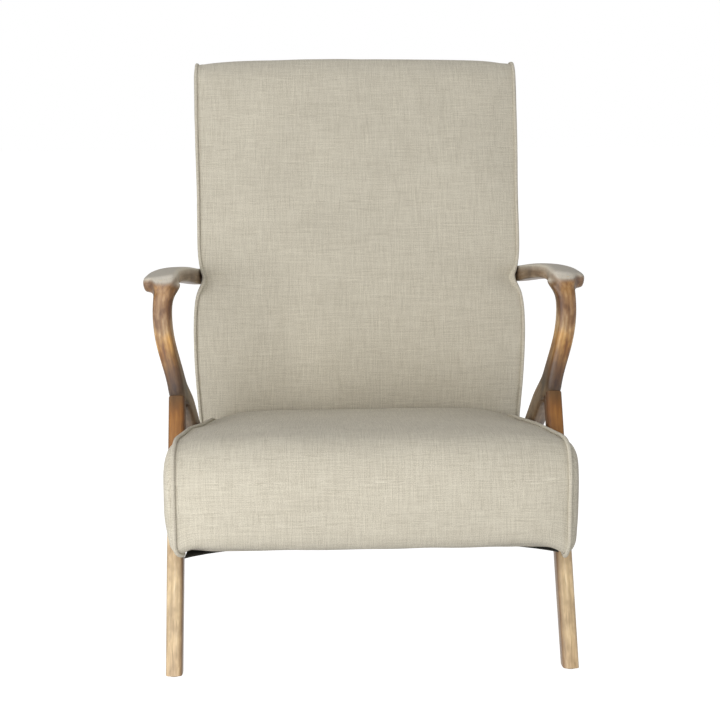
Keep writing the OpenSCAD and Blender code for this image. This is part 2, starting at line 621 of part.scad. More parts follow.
// The wood on both sides of a spacer is not quite square to it
spacer_fit = 1;
nut_l = 16;
bolt_head_h = 4;
module seat_bolts() {
  color(steel) placed() for (s = [0, 1]) mirror([s, 0, 0]) for (b = seat_bolt_rows) {
    rod_x(rail_outer(b[0]) - nut_l + 1, b[2] + member_w - 5, b[0], b[1], bolt_r);
    rod_x(b[2] + member_w - 5.5, b[2] + member_w - 5.5 + bolt_head_h, b[0], b[1], bolt_head_r);
  }
}
module seat_nuts() {
  color(steel) placed() for (s = [0, 1]) mirror([s, 0, 0]) for (b = seat_bolt_rows) difference() {
    rod_x(rail_outer(b[0]) - nut_l - 1, rail_outer(b[0]) - 1, b[0], b[1], nut_r);
    rod_x(rail_outer(b[0]) - 2 * nut_l, rail_outer(b[0]) + 5, b[0], b[1], bolt_r + 0.05);
  }
}
module seat_spacers() {
  color(steel) placed() for (s = [0, 1]) mirror([s, 0, 0]) for (b = seat_bolt_rows) difference() {
    rod_x(rail_outer(b[0]) + spacer_fit, b[2] - spacer_fit, b[0], b[1], spacer_r);
    rod_x(rail_outer(b[0]) - 5, b[2] + 5, b[0], b[1], bolt_r + bolt_fit);
  }
}

// Back upholstery.
// Heights of the waist below and above the middle of the arm's end
waist_below = 9;
waist_above = 28;
waist_top = arm_bolt_z + waist_above;
function above(k) = mix(waist_top, back_top, k);
function back_w(z) = curve([[back_low, back_half_w - 9], [low(0.33), back_half_w - 4], [low(0.66), back_half_w + 0.5],
  [lumbar_z - 15, back_half_w + 1], [mix(lumbar_z, arm_bolt_z, 0.4), back_half_w - 0.45 * waist_in],
  [arm_bolt_z - waist_below, back_half_w - waist_in], [waist_top, back_half_w - waist_in],
  [above(0.13), back_half_w - 0.72 * waist_in], [above(0.35), back_half_w - 0.5 * waist_in],
  [above(0.6), back_half_w - 0.18 * waist_in], [back_top, back_half_w]], z);
back_stations = [low(0.3), low(0.5), low(0.7), low(0.85), lumbar_z - 5, mix(lumbar_z, arm_bolt_z, 0.4),
  arm_bolt_z - waist_below, waist_top, above(0.12), above(0.27), above(0.46), above(0.68)];
top_front_r = 30;
top_rear_r = 24;
low_r = 18;
back_steps = len(back_stations) + 2;
top_steps = 4;
low_steps = 3;
function back_side(d, line, in, rt, rl) =
  let (z0 = back_low + d, z1 = back_top - d, t = max(5, rt - d), l = max(4, rl - d))
  concat(
    [for (i = [0 : low_steps - 1]) let (a = 90 - 90 * i / low_steps, z = z0 + l - l * sin(a))
      [curve(line, z) + in * (d + l * (1 - cos(a))), z]],
    [for (z = concat([z0 + l], back_stations, [z1 - t])) [curve(line, z) + in * d, z]],
    [for (i = [1 : top_steps]) let (a = 90 * i / top_steps, z = z1 - t + t * sin(a))
      [curve(line, z) + in * (d + t * (1 - cos(a))), z]]);
function back_loop(d) = concat(back_side(d, front_line, 1, top_front_r, low_r),
  reversed(back_side(d, rear_line, -1, top_rear_r, low_r)));
back_side_n = low_steps + back_steps + top_steps;
function back_point(p, s, x_out = 0) =
  let (e = 1 - pow(abs(s), 4), m = (curve(front_line, p[1]) + curve(rear_line, p[1])) / 2,
    front = p[0] < m ? 1 : 0, rim = max(0, min(1, min(back_top - p[1], p[1] - back_low) / 60)))
  [s * back_w(p[1]) + sign(s) * x_out, p[0] - front * back_crown * e * mix(0.5, 1, rim),
    p[1] + (p[1] > back_top - 40 ? 6 * e : 0)];
back_hem = 3;

module back_cover() {
  count = back_side_n + 2 * back_hem;
  from = 2 * back_side_n - back_hem;
  color(linen) placed() difference() {
    skin([for (s = seat_stations)
      let (d = seam_d(s), outer = picked(back_loop(d), from, count),
        inner = picked(back_loop(d + cover_t), from, count))
      [for (p = concat(outer, reversed(inner))) back_point(p, s)]]);
    bracket_bolt_set(bolt_r + bolt_fit, 1);
  }
}
back_rings = [[seam_in, 0], [seam_in + 2, 0.6], [seam_in + 8, 1]];
module back_side_panel() {
  color(linen) difference() {
    skin([for (r = reversed(back_rings))
      [for (p = back_loop(r[0])) back_point(p, 1, fit + back_swell * r[1])]]);
    rod_x(arm_end_x - 40, arm_end_x + 40, arm_bolt_y, arm_bolt_z, spacer_r + bolt_fit);
  }
}
module back_side_panel_left() {
  placed() mirrored() back_side_panel();
}
module back_side_panel_right() {
  placed() back_side_panel();
}
module back_welt() {
  color(linen) cord_loop([for (p = reversed(back_loop(seam_in - welt_r - 2 * fit))) back_point(p, 1, fit / 2)],
    welt_r);
}
module back_welt_left() {
  placed() mirrored() back_welt();
}
module back_welt_right() {
  placed() back_welt();
}
// Outside back: a covered panel let in between the hems of the cover.
function hem_edge(i) = back_side(0, rear_line, -1, top_rear_r, low_r)[i][1];
rear_panel_low = hem_edge(back_hem - 1);
rear_panel_top = hem_edge(back_side_n - back_hem);
module back_rear_panel() {
  heights = concat([rear_panel_low + fit], back_stations, [rear_panel_top - fit]);
  color(linen) placed() skin([for (s = [-1, -0.5, 0, 0.5, 1])
    let (outer = [for (z = heights) [curve(rear_line, z) - (abs(s) == 1 ? seam_in : 0), z]])
    [for (p = concat(outer, [for (q = reversed(outer)) q - [cover_t - 1, 0]]))
      [s * (back_w(p[1]) - welt_r - 3 * fit), p[0], p[1]]]]);
}

// Wooden back frame, set in from the rear line.
stile_x = back_half_w - waist_in - 6;
function strip(z0, z1, in0, in1, n = 8) = concat(
  [for (z = steps(z0, z1, n)) [curve(rear_line, z) - in0, z]],
  [for (z = steps(z1, z0, n)) [curve(rear_line, z) - in1, z]]);
frame_low = back_low + cover_t + 10;
frame_top = back_top - 26;
module back_stile() {
  color(hidden_wood) difference() {
    across(strip(frame_low, frame_top, frame_in, frame_in + stile_t, 14), stile_x - stile_w, stile_x);
    rod_x(stile_x - 2 * nut_l, stile_x + 5, arm_bolt_y, arm_bolt_z, nut_r + dowel_fit);
  }
}
module back_stile_left() {
  placed() mirrored() back_stile();
}
module back_stile_right() {
  placed() back_stile();
}
module back_rail(z0, z1) {
  across(strip(z0, z1, frame_in, frame_in + stile_t, 3), -stile_x + stile_w + fit, stile_x - stile_w - fit);
}
module back_top_rail() {
  color(hidden_wood) placed() back_rail(frame_top - 50, frame_top);
}
module back_middle_rail() {
  color(hidden_wood) placed() back_rail(arm_bolt_z - 30, arm_bolt_z + 30);
}
bottom_rail_h = 70;
module back_bottom_rail() {
  color(hidden_wood) placed() difference() {
    across([[rail_face, frame_low], [rail_face, frame_low + bottom_rail_h],
      [curve(rear_line, frame_low + bottom_rail_h) - frame_in, frame_low + bottom_rail_h],
      [curve(rear_line, frame_low) - frame_in, frame_low]], -stile_x + stile_w + fit, stile_x - stile_w - fit);
    bracket_bolt_set(bolt_r + dowel_fit, 1);
  }
}
back_straps = steps(frame_low + bottom_rail_h + 45, frame_top - 60 - web_w, 6);
module back_webbing() {
  color(webbing_colour) placed() for (z = back_straps)
    across(strip(z, z + web_w, frame_in + stile_t + fit, frame_in + stile_t + fit + web_t, 4),
      -stile_x + 4, stile_x - 4);
}
module back_foam() {
  rear_in = frame_in + stile_t + 3 * fit + web_t;
  foam_from = frame_low + bottom_rail_h + 2;
  ws = steps(foam_from, back_top - cover_t - 24, 16);
  color(foam_colour) placed() intersection() {
    across(concat([for (z = ws) [curve(front_line, z) + cover_t + 2.4, z]],
      [for (z = reversed(ws)) [curve(rear_line, z) - rear_in, z]]), -back_half_w, back_half_w);
    rotate([90, 0, 0]) translate([0, 0, -chair_depth]) linear_extrude(chair_depth)
      polygon(concat([for (z = ws) [back_w(z) - 16, z]], [for (z = reversed(ws)) [16 - back_w(z), z]]));
  }
}

// Arm fixings at the back.
module arm_bolts() {
  color(steel) placed() for (s = [0, 1]) mirror([s, 0, 0]) {
    rod_x(stile_x - nut_l, arm_end_x + 17.5, arm_bolt_y, arm_bolt_z, bolt_r);
    rod_x(arm_end_x + 17, arm_end_x + 17 + bolt_head_h, arm_bolt_y, arm_bolt_z, bolt_head_r);
  }
}
module arm_nuts() {
  color(steel) placed() for (s = [0, 1]) mirror([s, 0, 0]) difference() {
    rod_x(stile_x - nut_l - 1, stile_x - 1, arm_bolt_y, arm_bolt_z, nut_r);
    rod_x(stile_x - 2 * nut_l, stile_x + 5, arm_bolt_y, arm_bolt_z, bolt_r + 0.05);
  }
}
module arm_spacers() {
  color(steel) placed() for (s = [0, 1]) mirror([s, 0, 0]) difference() {
    rod_x(stile_x + fit, arm_end_x - fit, arm_bolt_y, arm_bolt_z, spacer_r);
    rod_x(stile_x - 5, arm_end_x + 5, arm_bolt_y, arm_bolt_z, bolt_r + bolt_fit);
  }
}

// Steel angles that tie the back to the rear rail of the seat.
bracket_x = [-150, 150];
bracket_w = 50;
bracket_up = 62;
plate_low = seat_under - fit;
rail_face = curve(front_line, frame_low) + cover_t + 6;
module bracket_bolt_set(r, extra) {
  for (x = bracket_x) {
    translate([x, rear_rail_y + rail_t / 2, plate_low - plate_t - bolt_head_h]) cylinder(h = 44 + extra, r = r);
    translate([x, plate_y - plate_t - fit, plate_low + 50]) rotate([-90, 0, 0]) cylinder(h = 50 + extra, r = r);
  }
}
module back_brackets() {
  color(steel) placed() for (x = bracket_x) difference() {
    union() {
      translate([x - bracket_w / 2, plate_y - bracket_foot - plate_t, plate_low - plate_t])
        cube([bracket_w, bracket_foot + plate_t, plate_t]);
      translate([x - bracket_w / 2, plate_y - plate_t, plate_low - plate_t]) cube([bracket_w, plate_t, bracket_up]);
    }
    bracket_bolt_set(bolt_r + bolt_fit, 1);
  }
}
module bracket_bolts() {
  color(steel) placed() bracket_bolt_set(bolt_r, 0);
}

arm_left();
arm_right();
rear_leg_left();
rear_leg_right();
front_leg_left();
front_leg_right();
arm_dowels();
knee_dowels();
foot_glides();
seat_front_rail();
seat_rear_rail();
seat_side_rail_left();
seat_side_rail_right();
seat_corner_blocks();
seat_webbing_long();
seat_webbing_cross();
seat_foam();
seat_cover();
seat_side_panel_left();
seat_side_panel_right();
seat_welt_left();
seat_welt_right();
dust_cover();
seat_bolts();
seat_nuts();
seat_spacers();
back_stile_left();
back_stile_right();
back_top_rail();
back_middle_rail();
back_bottom_rail();
back_webbing();
back_foam();
back_cover();
back_side_panel_left();
back_side_panel_right();
back_welt_left();
back_welt_right();
back_rear_panel();
arm_bolts();
arm_nuts();
arm_spacers();
back_brackets();
bracket_bolts();
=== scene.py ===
# Looks of the high-back lounge chair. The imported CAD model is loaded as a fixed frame, and the upholstery,
# the piping, the sculpted side frames and the finishes are added to it. Metres, in the frame of the CAD model.
import json
import math
import bmesh
import bpy
from mathutils import Matrix, Vector, noise


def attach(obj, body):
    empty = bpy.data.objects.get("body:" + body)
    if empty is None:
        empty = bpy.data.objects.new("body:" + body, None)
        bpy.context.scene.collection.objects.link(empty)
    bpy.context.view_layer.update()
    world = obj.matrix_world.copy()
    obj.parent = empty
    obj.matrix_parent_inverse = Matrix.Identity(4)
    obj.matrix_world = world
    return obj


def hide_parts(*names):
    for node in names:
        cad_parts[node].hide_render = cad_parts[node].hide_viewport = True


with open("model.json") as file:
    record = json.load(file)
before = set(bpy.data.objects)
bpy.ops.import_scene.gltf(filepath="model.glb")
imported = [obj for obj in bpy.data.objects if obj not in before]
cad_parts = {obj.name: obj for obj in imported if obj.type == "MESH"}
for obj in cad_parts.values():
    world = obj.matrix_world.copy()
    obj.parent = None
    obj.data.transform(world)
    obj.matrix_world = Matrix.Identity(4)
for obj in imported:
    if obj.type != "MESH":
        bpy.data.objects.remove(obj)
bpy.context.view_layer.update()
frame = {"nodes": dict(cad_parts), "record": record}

bl_info = {
    "name": "Upholstered Lounge Chair",
    "version": (1, 0, 0),
    "blender": (4, 5, 0),
    "location": "3D View > Sidebar > Lounge Chair",
    "description": "Upholstery, piping, wooden side frames and finishes of a lounge chair on its CAD frame",
    "category": "Object",
}

# Shapes below are worked out in millimetres, with depths measured from the front of the seat, as in the CAD source.
MIDDLE = 371.55


def place(x, y, z):
    return Vector((x / 1000, (y - MIDDLE) / 1000, z / 1000))


def in_millimetres(co):
    """The other way: a point of a mesh as the shapes below give it."""
    return Vector((co.x * 1000, co.y * 1000 + MIDDLE, co.z * 1000))


def mix(a, b, t):
    return a + (b - a) * t


def share(t):
    return max(0.0, min(1.0, t))


def eased(t):
    t = share(t)
    return t * t * (3 - 2 * t)


def curve(pairs, x):
    """Smooth value at x through (position, value) pairs."""
    last = len(pairs) - 1
    i = 0
    while i < last - 1 and x >= pairs[i + 1][0]:
        i += 1

    def slope(k):
        a, b = max(0, k - 1), min(last, k + 1)
        return (pairs[b][1] - pairs[a][1]) / (pairs[b][0] - pairs[a][0])

    h = pairs[i + 1][0] - pairs[i][0]
    t = share((x - pairs[i][0]) / h)
    return (pairs[i][1] * (1 + 2 * t) * (1 - t) ** 2 + pairs[i + 1][1] * t * t * (3 - 2 * t)
            + h * slope(i) * t * (1 - t) ** 2 - h * slope(i + 1) * t * t * (1 - t))


def arc(cy, cz, r, a0, a1, n):
    angles = [math.radians(mix(a0, a1, i / n)) for i in range(n + 1)]
    return [(cy + r * math.cos(a), cz + r * math.sin(a)) for a in angles]


def run(a, b, n):
    return [(mix(a[0], b[0], i / (n + 1)), mix(a[1], b[1], i / (n + 1))) for i in range(1, n + 1)]


# Seat: plan, side profile and crown
SEAT_DEPTH, SEAT_UNDER, SEAT_FRONT_TOP, SEAT_REAR_TOP = 507, 187, 366, 320
NOSE_R, LOW_FRONT_R, TOP_REAR_R, LOW_REAR_R = 62, 26, 22, 7


def seat_w(y):
    """Half width of the seat at the depth y."""
    if y >= 110:
        return 301 - 31 / 397 * (y - 110)
    return curve([(0, 308), (40, 309), (110, 301)], y)


def seat_swell(y):
    """How far the side panel stands out at the depth y."""
    return curve([(0, 17), (61, 16), (111, 5), (149, 4), (507, 4)], y)


def seat_loop(d):
    """Side profile of the seat, d inside its outline, from the middle of the front over the top."""
    rn, rl, rr, rb = max(6, NOSE_R - d), max(5, LOW_FRONT_R - d), max(5, TOP_REAR_R - d), max(2, LOW_REAR_R - d)
    zf, zr, zu, y0, y1 = SEAT_FRONT_TOP - d, SEAT_REAR_TOP - d, SEAT_UNDER + d, d, SEAT_DEPTH - d
    front, rear = (y0, mix(zu, zf, 0.45)), (y1, mix(zu, zr, 0.5))
    nose = arc(y0 + rn, zf - rn, rn, 180, 84, 20)
    return ([front] + run(front, (y0, zf - rn), 3) + nose
            + run(nose[-1], (y1 - rr, zr), 46) + arc(y1 - rr, zr - rr, rr, 90, 0, 8)
            + run((y1, zr - rr), rear, 5) + [rear] + run(rear, (y1, zu + rb), 5)
            + arc(y1 - rb, zu + rb, rb, 0, -90, 4) + run((y1 - rb, zu), (y0 + rl, zu), 61)
            + arc(y0 + rl, zu + rl, rl, 270, 180, 8) + run((y0, zu + rl), front, 4))


def seat_point(p, s, x_out=0.0):
    """A point of the side profile at the station s, from -1 at one seam to 1 at the other. The seat is crowned,
    its seams stand up at the shoulders, and its left lower corner is drawn up and in while the right one hangs."""
    e = 1 - s ** 4
    y, z = p
    high = eased((z - 246) / 60)
    near = eased((abs(s) - 0.8) / 0.2)
    crown = 7 * e * math.sin(math.pi / 2 * share(y / NOSE_R)) * math.sin(math.pi / 2 * share((SEAT_DEPTH - y) / 60))
    crown += 4.5 * e * math.sin(math.pi * share((y - 8) / 290)) ** 2
    lift = 14 + 4 * eased((abs(s) - 0.4) / 0.5)
    lift = lift * eased((70 - y) / 50) * share((276.5 - z) / 60) * (1 - abs(s) ** 18)
    drop = 8 * share((abs(s) - 0.85) / 0.15) * share((y - 300) / 200) + 6 * near * eased((y - 440) / 60)
    shoulder = (5 if s < 0 else 2) * near * eased((y - 40) / 60) * eased((330 - y) / 120)
    under = share((218 - z) / 31) ** 2 * share((90 - y) / 60)
    out = 5 * e * share(1 - y / 40) * mix(0.6, 1, share((z - 217) / 120))
    side = seat_w(y) + shoulder * high - (13 if s < 0 else 5) * under
    return (s * side + math.copysign(x_out, s), y - out + 3 * share(1 - y / 40),
            z + mix(lift + (9 if s < 0 else -4) * under * near, crown - drop + shoulder, high))


# Back: front and rear lines and half width by height.
FRONT_LINE = [(212, 521), (300.4, 517), (388.9, 506), (480, 501), (590.9, 518), (701.7, 560.5),
              (807.8, 606.4), (904.2, 647.2), (962, 671)]
REAR_LINE = [(212, 589), (300.4, 591), (388.9, 593), (480, 595), (590.9, 612), (701.7, 650.8),
             (807.8, 690.6), (904.2, 726), (962, 747.1)]
BACK_W = [(212, 295), (300.4, 300), (388.9, 304.5), (465, 305.5), (505, 304), (524, 302), (538, 299), (547, 295.5),
          (556, 290.5), (565, 286.5), (573, 287), (584, 291), (603, 294.5), (628, 296.5), (720.2, 298),
          (813.2, 301.5), (962, 304)]
BACK_LOW, BACK_TOP = 212, 962


def back_w(z):
    return curve(BACK_W, z)


def back_side(d, line, inward, top_r, low_r):
    """One long side of the back's profile, d inside its outline, with rounded ends."""
    z0, z1, t, l = BACK_LOW + d, BACK_TOP - d, max(5, top_r - d), max(4, low_r - d)
    low = [(z0 + l - l * math.cos(math.radians(a)), l * (1 - math.sin(math.radians(a)))) for a in range(0, 90, 13)]
    body = [(mix(z0 + l, z1 - t, i / 66), 0) for i in range(67)]
    top = [(z1 - t + t * math.sin(math.radians(a)), t * (1 - math.cos(math.radians(a)))) for a in range(11, 91, 11)]
    top[-1] = (z1, t)
    return [(curve(line, z) + inward * (d + i), z) for z, i in low + body + top]


def back_loop(d):
    """Side profile of the back, d inside its outline."""
    front, rear = back_side(d, FRONT_LINE, 1, 30, 18), back_side(d, REAR_LINE, -1, 24, 18)
    rear.reverse()
    low, top = run(rear[-1], front[0], 5), run(front[-1], rear[0], 3)
    return low[2:] + front + top + rear + low[:2]


def back_point(p, s, x_out=0.0):
    """A point of the back's profile at the station s. Behind, the cover lies under the outside panel."""
    e = 1 - abs(s) ** 4
    y, z = p
    middle = (curve(FRONT_LINE, z) + curve(REAR_LINE, z)) / 2
    front = eased((middle - y) / 30 + 0.5)
    rim = share(min(BACK_TOP - z, z - BACK_LOW) / 60)
    behind = (1 - front) * eased((z - (BACK_LOW + 12)) / 10) * eased((BACK_TOP - 12 - z) / 10)
    behind *= eased((0.985 - abs(s)) / 0.02)
    return (s * back_w(z) + math.copysign(x_out, s), y - 9 * e * front * mix(0.5, 1, rim) - 3 * behind,
            z + 6 * e * eased((z - 890) / 60))


# Meshes
def new_object(name, mesh):
    obj = bpy.data.objects.new(name, mesh)
    bpy.context.collection.objects.link(obj)
    return obj


def alone(obj):
    """Selects only obj and makes it active."""
    if bpy.context.object and bpy.context.object.mode != "OBJECT":
        bpy.ops.object.mode_set(mode="OBJECT")
    bpy.ops.object.select_all(action="DESELECT")
    obj.select_set(True)
    bpy.context.view_layer.objects.active = obj


def finish_with(obj, kind, **settings):
    """Adds a modifier with these settings and applies it."""
    alone(obj)
    modifier = obj.modifiers.new(kind.title(), kind)
    for key, value in settings.items():
        setattr(modifier, key, value)
    bpy.ops.object.modifier_apply(modifier=modifier.name)


def smooth(obj, angle=None):
    alone(obj)
    if angle is None:
        bpy.ops.object.shade_smooth()
    else:
        bpy.ops.object.shade_smooth_by_angle(angle=math.radians(angle))


def skin(name, rings, uvs, capped=True, looped=False):
    """A closed mesh over rings of points. uvs(strip, ring, point) gives the cloth's own place of a corner of the
    strip of faces that begins at the ring named strip, in metres."""
    n, mesh, bm = len(rings[0]), bpy.data.meshes.new(name), bmesh.new()
    uv = bm.loops.layers.uv.new("cloth")
    verts = [[bm.verts.new(place(*p)) for p in ring] for ring in rings]

    def face(strip, corners):
        made = bm.faces.new([verts[j % len(rings)][i % n] for j, i in corners])
        for loop, (j, i) in zip(made.loops, corners):
            loop[uv].uv = uvs(strip, j, i)

    for j in range(len(rings) if looped else len(rings) - 1):
        for i in range(n):
            face(j, [(j, i), (j, i + 1), (j + 1, i + 1), (j + 1, i)])
    if capped:
        for j in (0, len(rings) - 1):
            for i in range(n // 2):
                corners = [(j, i), (j, i + 1), (j, n - i - 1), (j, n - i)]
                if i == 0:
                    corners = corners[:3]
                if i == n // 2 - 1:
                    corners = [(j, i), (j, i + 1), (j, n - i)]
                face(j, corners)
    bmesh.ops.recalc_face_normals(bm, faces=bm.faces)
    bm.to_mesh(mesh)
    bm.free()
    return new_object(name, mesh)


CLOTH_STEPS = 20


def puff(obj, held, pressure, cap):
    """Lets the cover swell under pressure with its seams held, by no more than cap metres."""
    before = [v.co.copy() for v in obj.data.vertices]
    obj.vertex_groups.new(name="held").add(held, 1.0, "REPLACE")
    alone(obj)
    cloth = obj.modifiers.new("Cloth", "CLOTH")
    cloth.settings.vertex_group_mass = "held"
    cloth.settings.use_pressure = True
    cloth.settings.uniform_pressure_force = pressure
    cloth.settings.effector_weights.gravity = 0
    cloth.settings.quality = 6
    cloth.settings.tension_stiffness = 12
    cloth.settings.compression_stiffness = 12
    cloth.settings.bending_stiffness = 2
    cloth.collision_settings.use_collision = False
    for step in range(1, CLOTH_STEPS + 1):
        bpy.context.scene.frame_set(step)
    bpy.ops.object.modifier_apply(modifier=cloth.name)
    bpy.context.scene.frame_set(1)
    for v, old in zip(obj.data.vertices, before):
        moved = v.co - old
        if moved.length > 0:
            v.co = old + moved * (cap / (cap + moved.length))
    obj.vertex_groups.remove(obj.vertex_groups["held"])


def shift_along_normals(obj, amount):
    """Moves each point along its normal by amount(x, y, z, normal), all in millimetres."""
    mesh = obj.data
    normals = [Vector(n.vector) for n in mesh.vertex_normals]
    for v, n in zip(mesh.vertices, normals):
        x, y, z = v.co.x * 1000, v.co.y * 1000 + MIDDLE, v.co.z * 1000
        v.co += n * (amount(x, y, z, n) / 1000)


def uneven(x, y, z, size, seed):
    """Soft unevenness of wadding, from about -1 to 1."""
    return 1.6 * noise.noise(Vector((x / size, y / size, z / size + seed)))


def across_loops(half, fine):
    """Stations from -1 to 1, closer together beside the seams."""
    near = [1 - k / half for k in fine]
    even = [i / 36 for i in range(-35, 36) if abs(i) / 36 < near[-1] - 0.008]
    return [-k for k in near] + even + near[::-1]


def seam_draw(s):
    """How far the stitching draws the cover in at the station s."""
    return 1.6 * share((abs(s) - 0.8) / 0.2) ** 2 + 1.4 * share((abs(s) - 0.972) / 0.028) ** 2


def upholstered(name, loop, point, side_rings, swell, base):
    """One padded form, the cover across the chair with a side panel at each end, and the points that the cloth run
    holds: the side panels, the seams and the underside, where base(point, points) is true."""
    stations = across_loops(300, (0, 2, 4, 6.5, 10))
    stations[0], stations[-1] = -1.0, 1.0
    rings = [[point(p, -1, 0.3 + swell(p, -1) * k) for p in loop(d)] for d, k in side_rings[::-1]]
    rings += [[point(p, s) for p in loop(seam_draw(s))] for s in stations]
    rings += [[point(p, 1, 0.3 + swell(p, 1) * k) for p in loop(d)] for d, k in side_rings]
    middle = [Vector(point(p, 0)) for p in loop(0)]
    n, length = len(middle), [0.0]
    for a, b in zip(middle, middle[1:] + middle[:1]):
        length.append(length[-1] + (b - a).length)
    first, last = len(side_rings), len(rings) - len(side_rings) - 1

    def uvs(strip, j, i):
        x, y, z = rings[j][i % n]
        if strip < first or strip >= last:
            return (y / 1000 + (1 if x > 0 else 2), z / 1000)
        return (x / 1000, length[i] / 1000)

    held = [j * n + i for j in range(len(rings)) for i in range(n) if j <= first or j >= last or base(i, n)]
    return skin(name, rings, uvs), held


def cord_tube(name, path, radius, sides=12):
    """Closed piping cord along points, with its length and turn as the cloth's own place."""
    points = [Vector(p) for p in path]
    turns = [2 * math.pi * k / sides for k in range(sides)]
    n, rings, length = len(points), [], [0.0]
    for i, p in enumerate(points):
        t = (points[(i + 1) % n] - points[i - 1]).normalized()
        u = t.cross(Vector((1, 0, 0))).normalized()
        v = u.cross(t)
        rings.append([tuple(p + radius * (u * math.cos(a) + v * math.sin(a))) for a in turns])
        length.append(length[-1] + (points[(i + 1) % n] - p).length)
    return skin(name, rings, lambda strip, j, i: (length[j] / 1000, 2 * math.pi * radius * i / sides / 1000),
                capped=False, looped=True)


def mirrored_copy(obj, name):
    """A copy with its own mesh on the other side of the chair."""
    mesh = obj.data.copy()
    mesh.name = name
    mesh.transform(Matrix.Scale(-1, 4, Vector((1, 0, 0))))
    mesh.flip_normals()
    return new_object(name, mesh)


# Shaped members: the section is a square with bevelled corners that is extruded ring by ring
def turn(angle, axis, centre):
    """Turns what is selected. With no window the operator turns the other way, so the angle is negated."""
    if abs(angle) > 1e-9:
        bpy.ops.transform.rotate(value=-angle, orient_axis=axis, orient_type="GLOBAL", center_override=centre)


def shaped_member(name, rows, corner=0.42):
    """Each row: centre in millimetres, half width across, half depth, turn about X, turn about Y, in degrees."""
    bpy.ops.object.select_all(action="DESELECT")
    bpy.ops.mesh.primitive_plane_add(size=2, location=(0, 0, 0))
    obj = bpy.context.object
    obj.name = name
    bpy.ops.object.mode_set(mode="EDIT")
    bpy.ops.mesh.select_all(action="SELECT")
    bpy.ops.mesh.bevel(offset=corner, affect="VERTICES", segments=2)
    at, size, turned = Vector((0, 0, 0)), (1.0, 1.0), (0.0, 0.0)
    for k, (centre, half, depth, about_x, about_y) in enumerate(rows):
        goal = place(*centre)
        if k:
            bpy.ops.mesh.extrude_region_move()
        turn(-turned[1], "Y", at)
        turn(-turned[0], "X", at)
        bpy.ops.transform.resize(value=(half / 1000 / size[0], depth / 1000 / size[1], 1), orient_type="GLOBAL",
                                 center_override=at)
        turn(math.radians(about_x), "X", at)
        turn(math.radians(about_y), "Y", at)
        bpy.ops.transform.translate(value=goal - at)
        at, size = goal, (half / 1000, depth / 1000)
        turned = (math.radians(about_x), math.radians(about_y))
    bpy.ops.mesh.select_all(action="SELECT")
    bpy.ops.mesh.normals_make_consistent(inside=False)
    bpy.ops.object.mode_set(mode="OBJECT")
    return obj


def cut_flat(obj, point, normal):
    """Cuts obj off flat: what lies on the normal's side goes."""
    alone(obj)
    bpy.ops.object.mode_set(mode="EDIT")
    bpy.ops.mesh.select_all(action="SELECT")
    bpy.ops.mesh.bisect(plane_co=point, plane_no=normal, use_fill=True, clear_outer=True)
    bpy.ops.object.mode_set(mode="OBJECT")


def cut_with(obj, cutters):
    """Takes the cutters out of obj and deletes them."""
    alone(cutters[0])
    for other in cutters[1:]:
        other.select_set(True)
    if len(cutters) > 1:
        bpy.ops.object.join()
    tool = bpy.context.object
    finish_with(obj, "BOOLEAN", operation="DIFFERENCE", solver="EXACT", object=tool)
    bpy.data.objects.remove(tool)


def rod(x0, x1, y, z, r):
    """A cutter along X, in millimetres."""
    bpy.ops.object.select_all(action="DESELECT")
    bpy.ops.mesh.primitive_cylinder_add(vertices=32, radius=r / 1000, depth=(x1 - x0) / 1000,
                                        location=place((x0 + x1) / 2, y, z), rotation=(0, math.pi / 2, 0))
    return bpy.context.object


def bolt_bores(y, z, inner, head_at):
    """Cutters of one bolt: its clearance hole and, from head_at outwards, the seat of its head."""
    return [rod(inner - 30, inner + 60, y, z, 4.5), rod(inner + head_at, inner + 70, y, z, 8)]


def prism(profile, x0, x1):
    """A cutter with a side profile of (depth, height) points, in millimetres."""
    bm, mesh = bmesh.new(), bpy.data.meshes.new("cutter")
    ends = [[bm.verts.new(place(x, y, z)) for y, z in profile] for x in (x0, x1)]
    bm.faces.new(ends[0])
    bm.faces.new(ends[1])
    for i in range(len(profile)):
        k = (i + 1) % len(profile)
        bm.faces.new([ends[0][i], ends[0][k], ends[1][k], ends[1][i]])
    bmesh.ops.recalc_face_normals(bm, faces=bm.faces)
    bm.to_mesh(mesh)
    bm.free()
    return new_object("cutter", mesh)


# Places of the side frame, as in the CAD source.
POST_Y, HEEL_Y, KNEE_Z, UNDER, CREST = 240.0, 664.0, 402.0, 586.0, 612.0
KNEE_X, POST_X, FOOT_X, HEEL_X = 320.35, 344.35, 315.85, 271.0
MEMBER, LEG_DEEP = 29.0, 37
ARM_END_X, ARM_END_Y = 296.0, 608.0
# Each bolt: depth, height, inner face of the wood, and how far outside it the seat of the head begins
FRONT_BOLT = (156.7, 233.0, 303.96, 23)
REAR_BOLTS = ((432.3, 252.2, 282.4, 23), (464.6, 221.8, 279.1, 23), (586.5, 562.0, 296.0, 17))
SLOPE = (KNEE_Z - 3) / (HEEL_Y - POST_Y)
LEAN = math.atan(SLOPE)
RAKE = (POST_Y - 2) / KNEE_Z
JOINT = (POST_Y + 4 * math.sin(LEAN), KNEE_Z + 4 * math.cos(LEAN))


def joint_z(y):
    """Height of the sloping knee joint at the depth y."""
    return JOINT[1] - (y - JOINT[0]) * SLOPE


def leg_front(z):
    return 2 + RAKE * (z - 3)


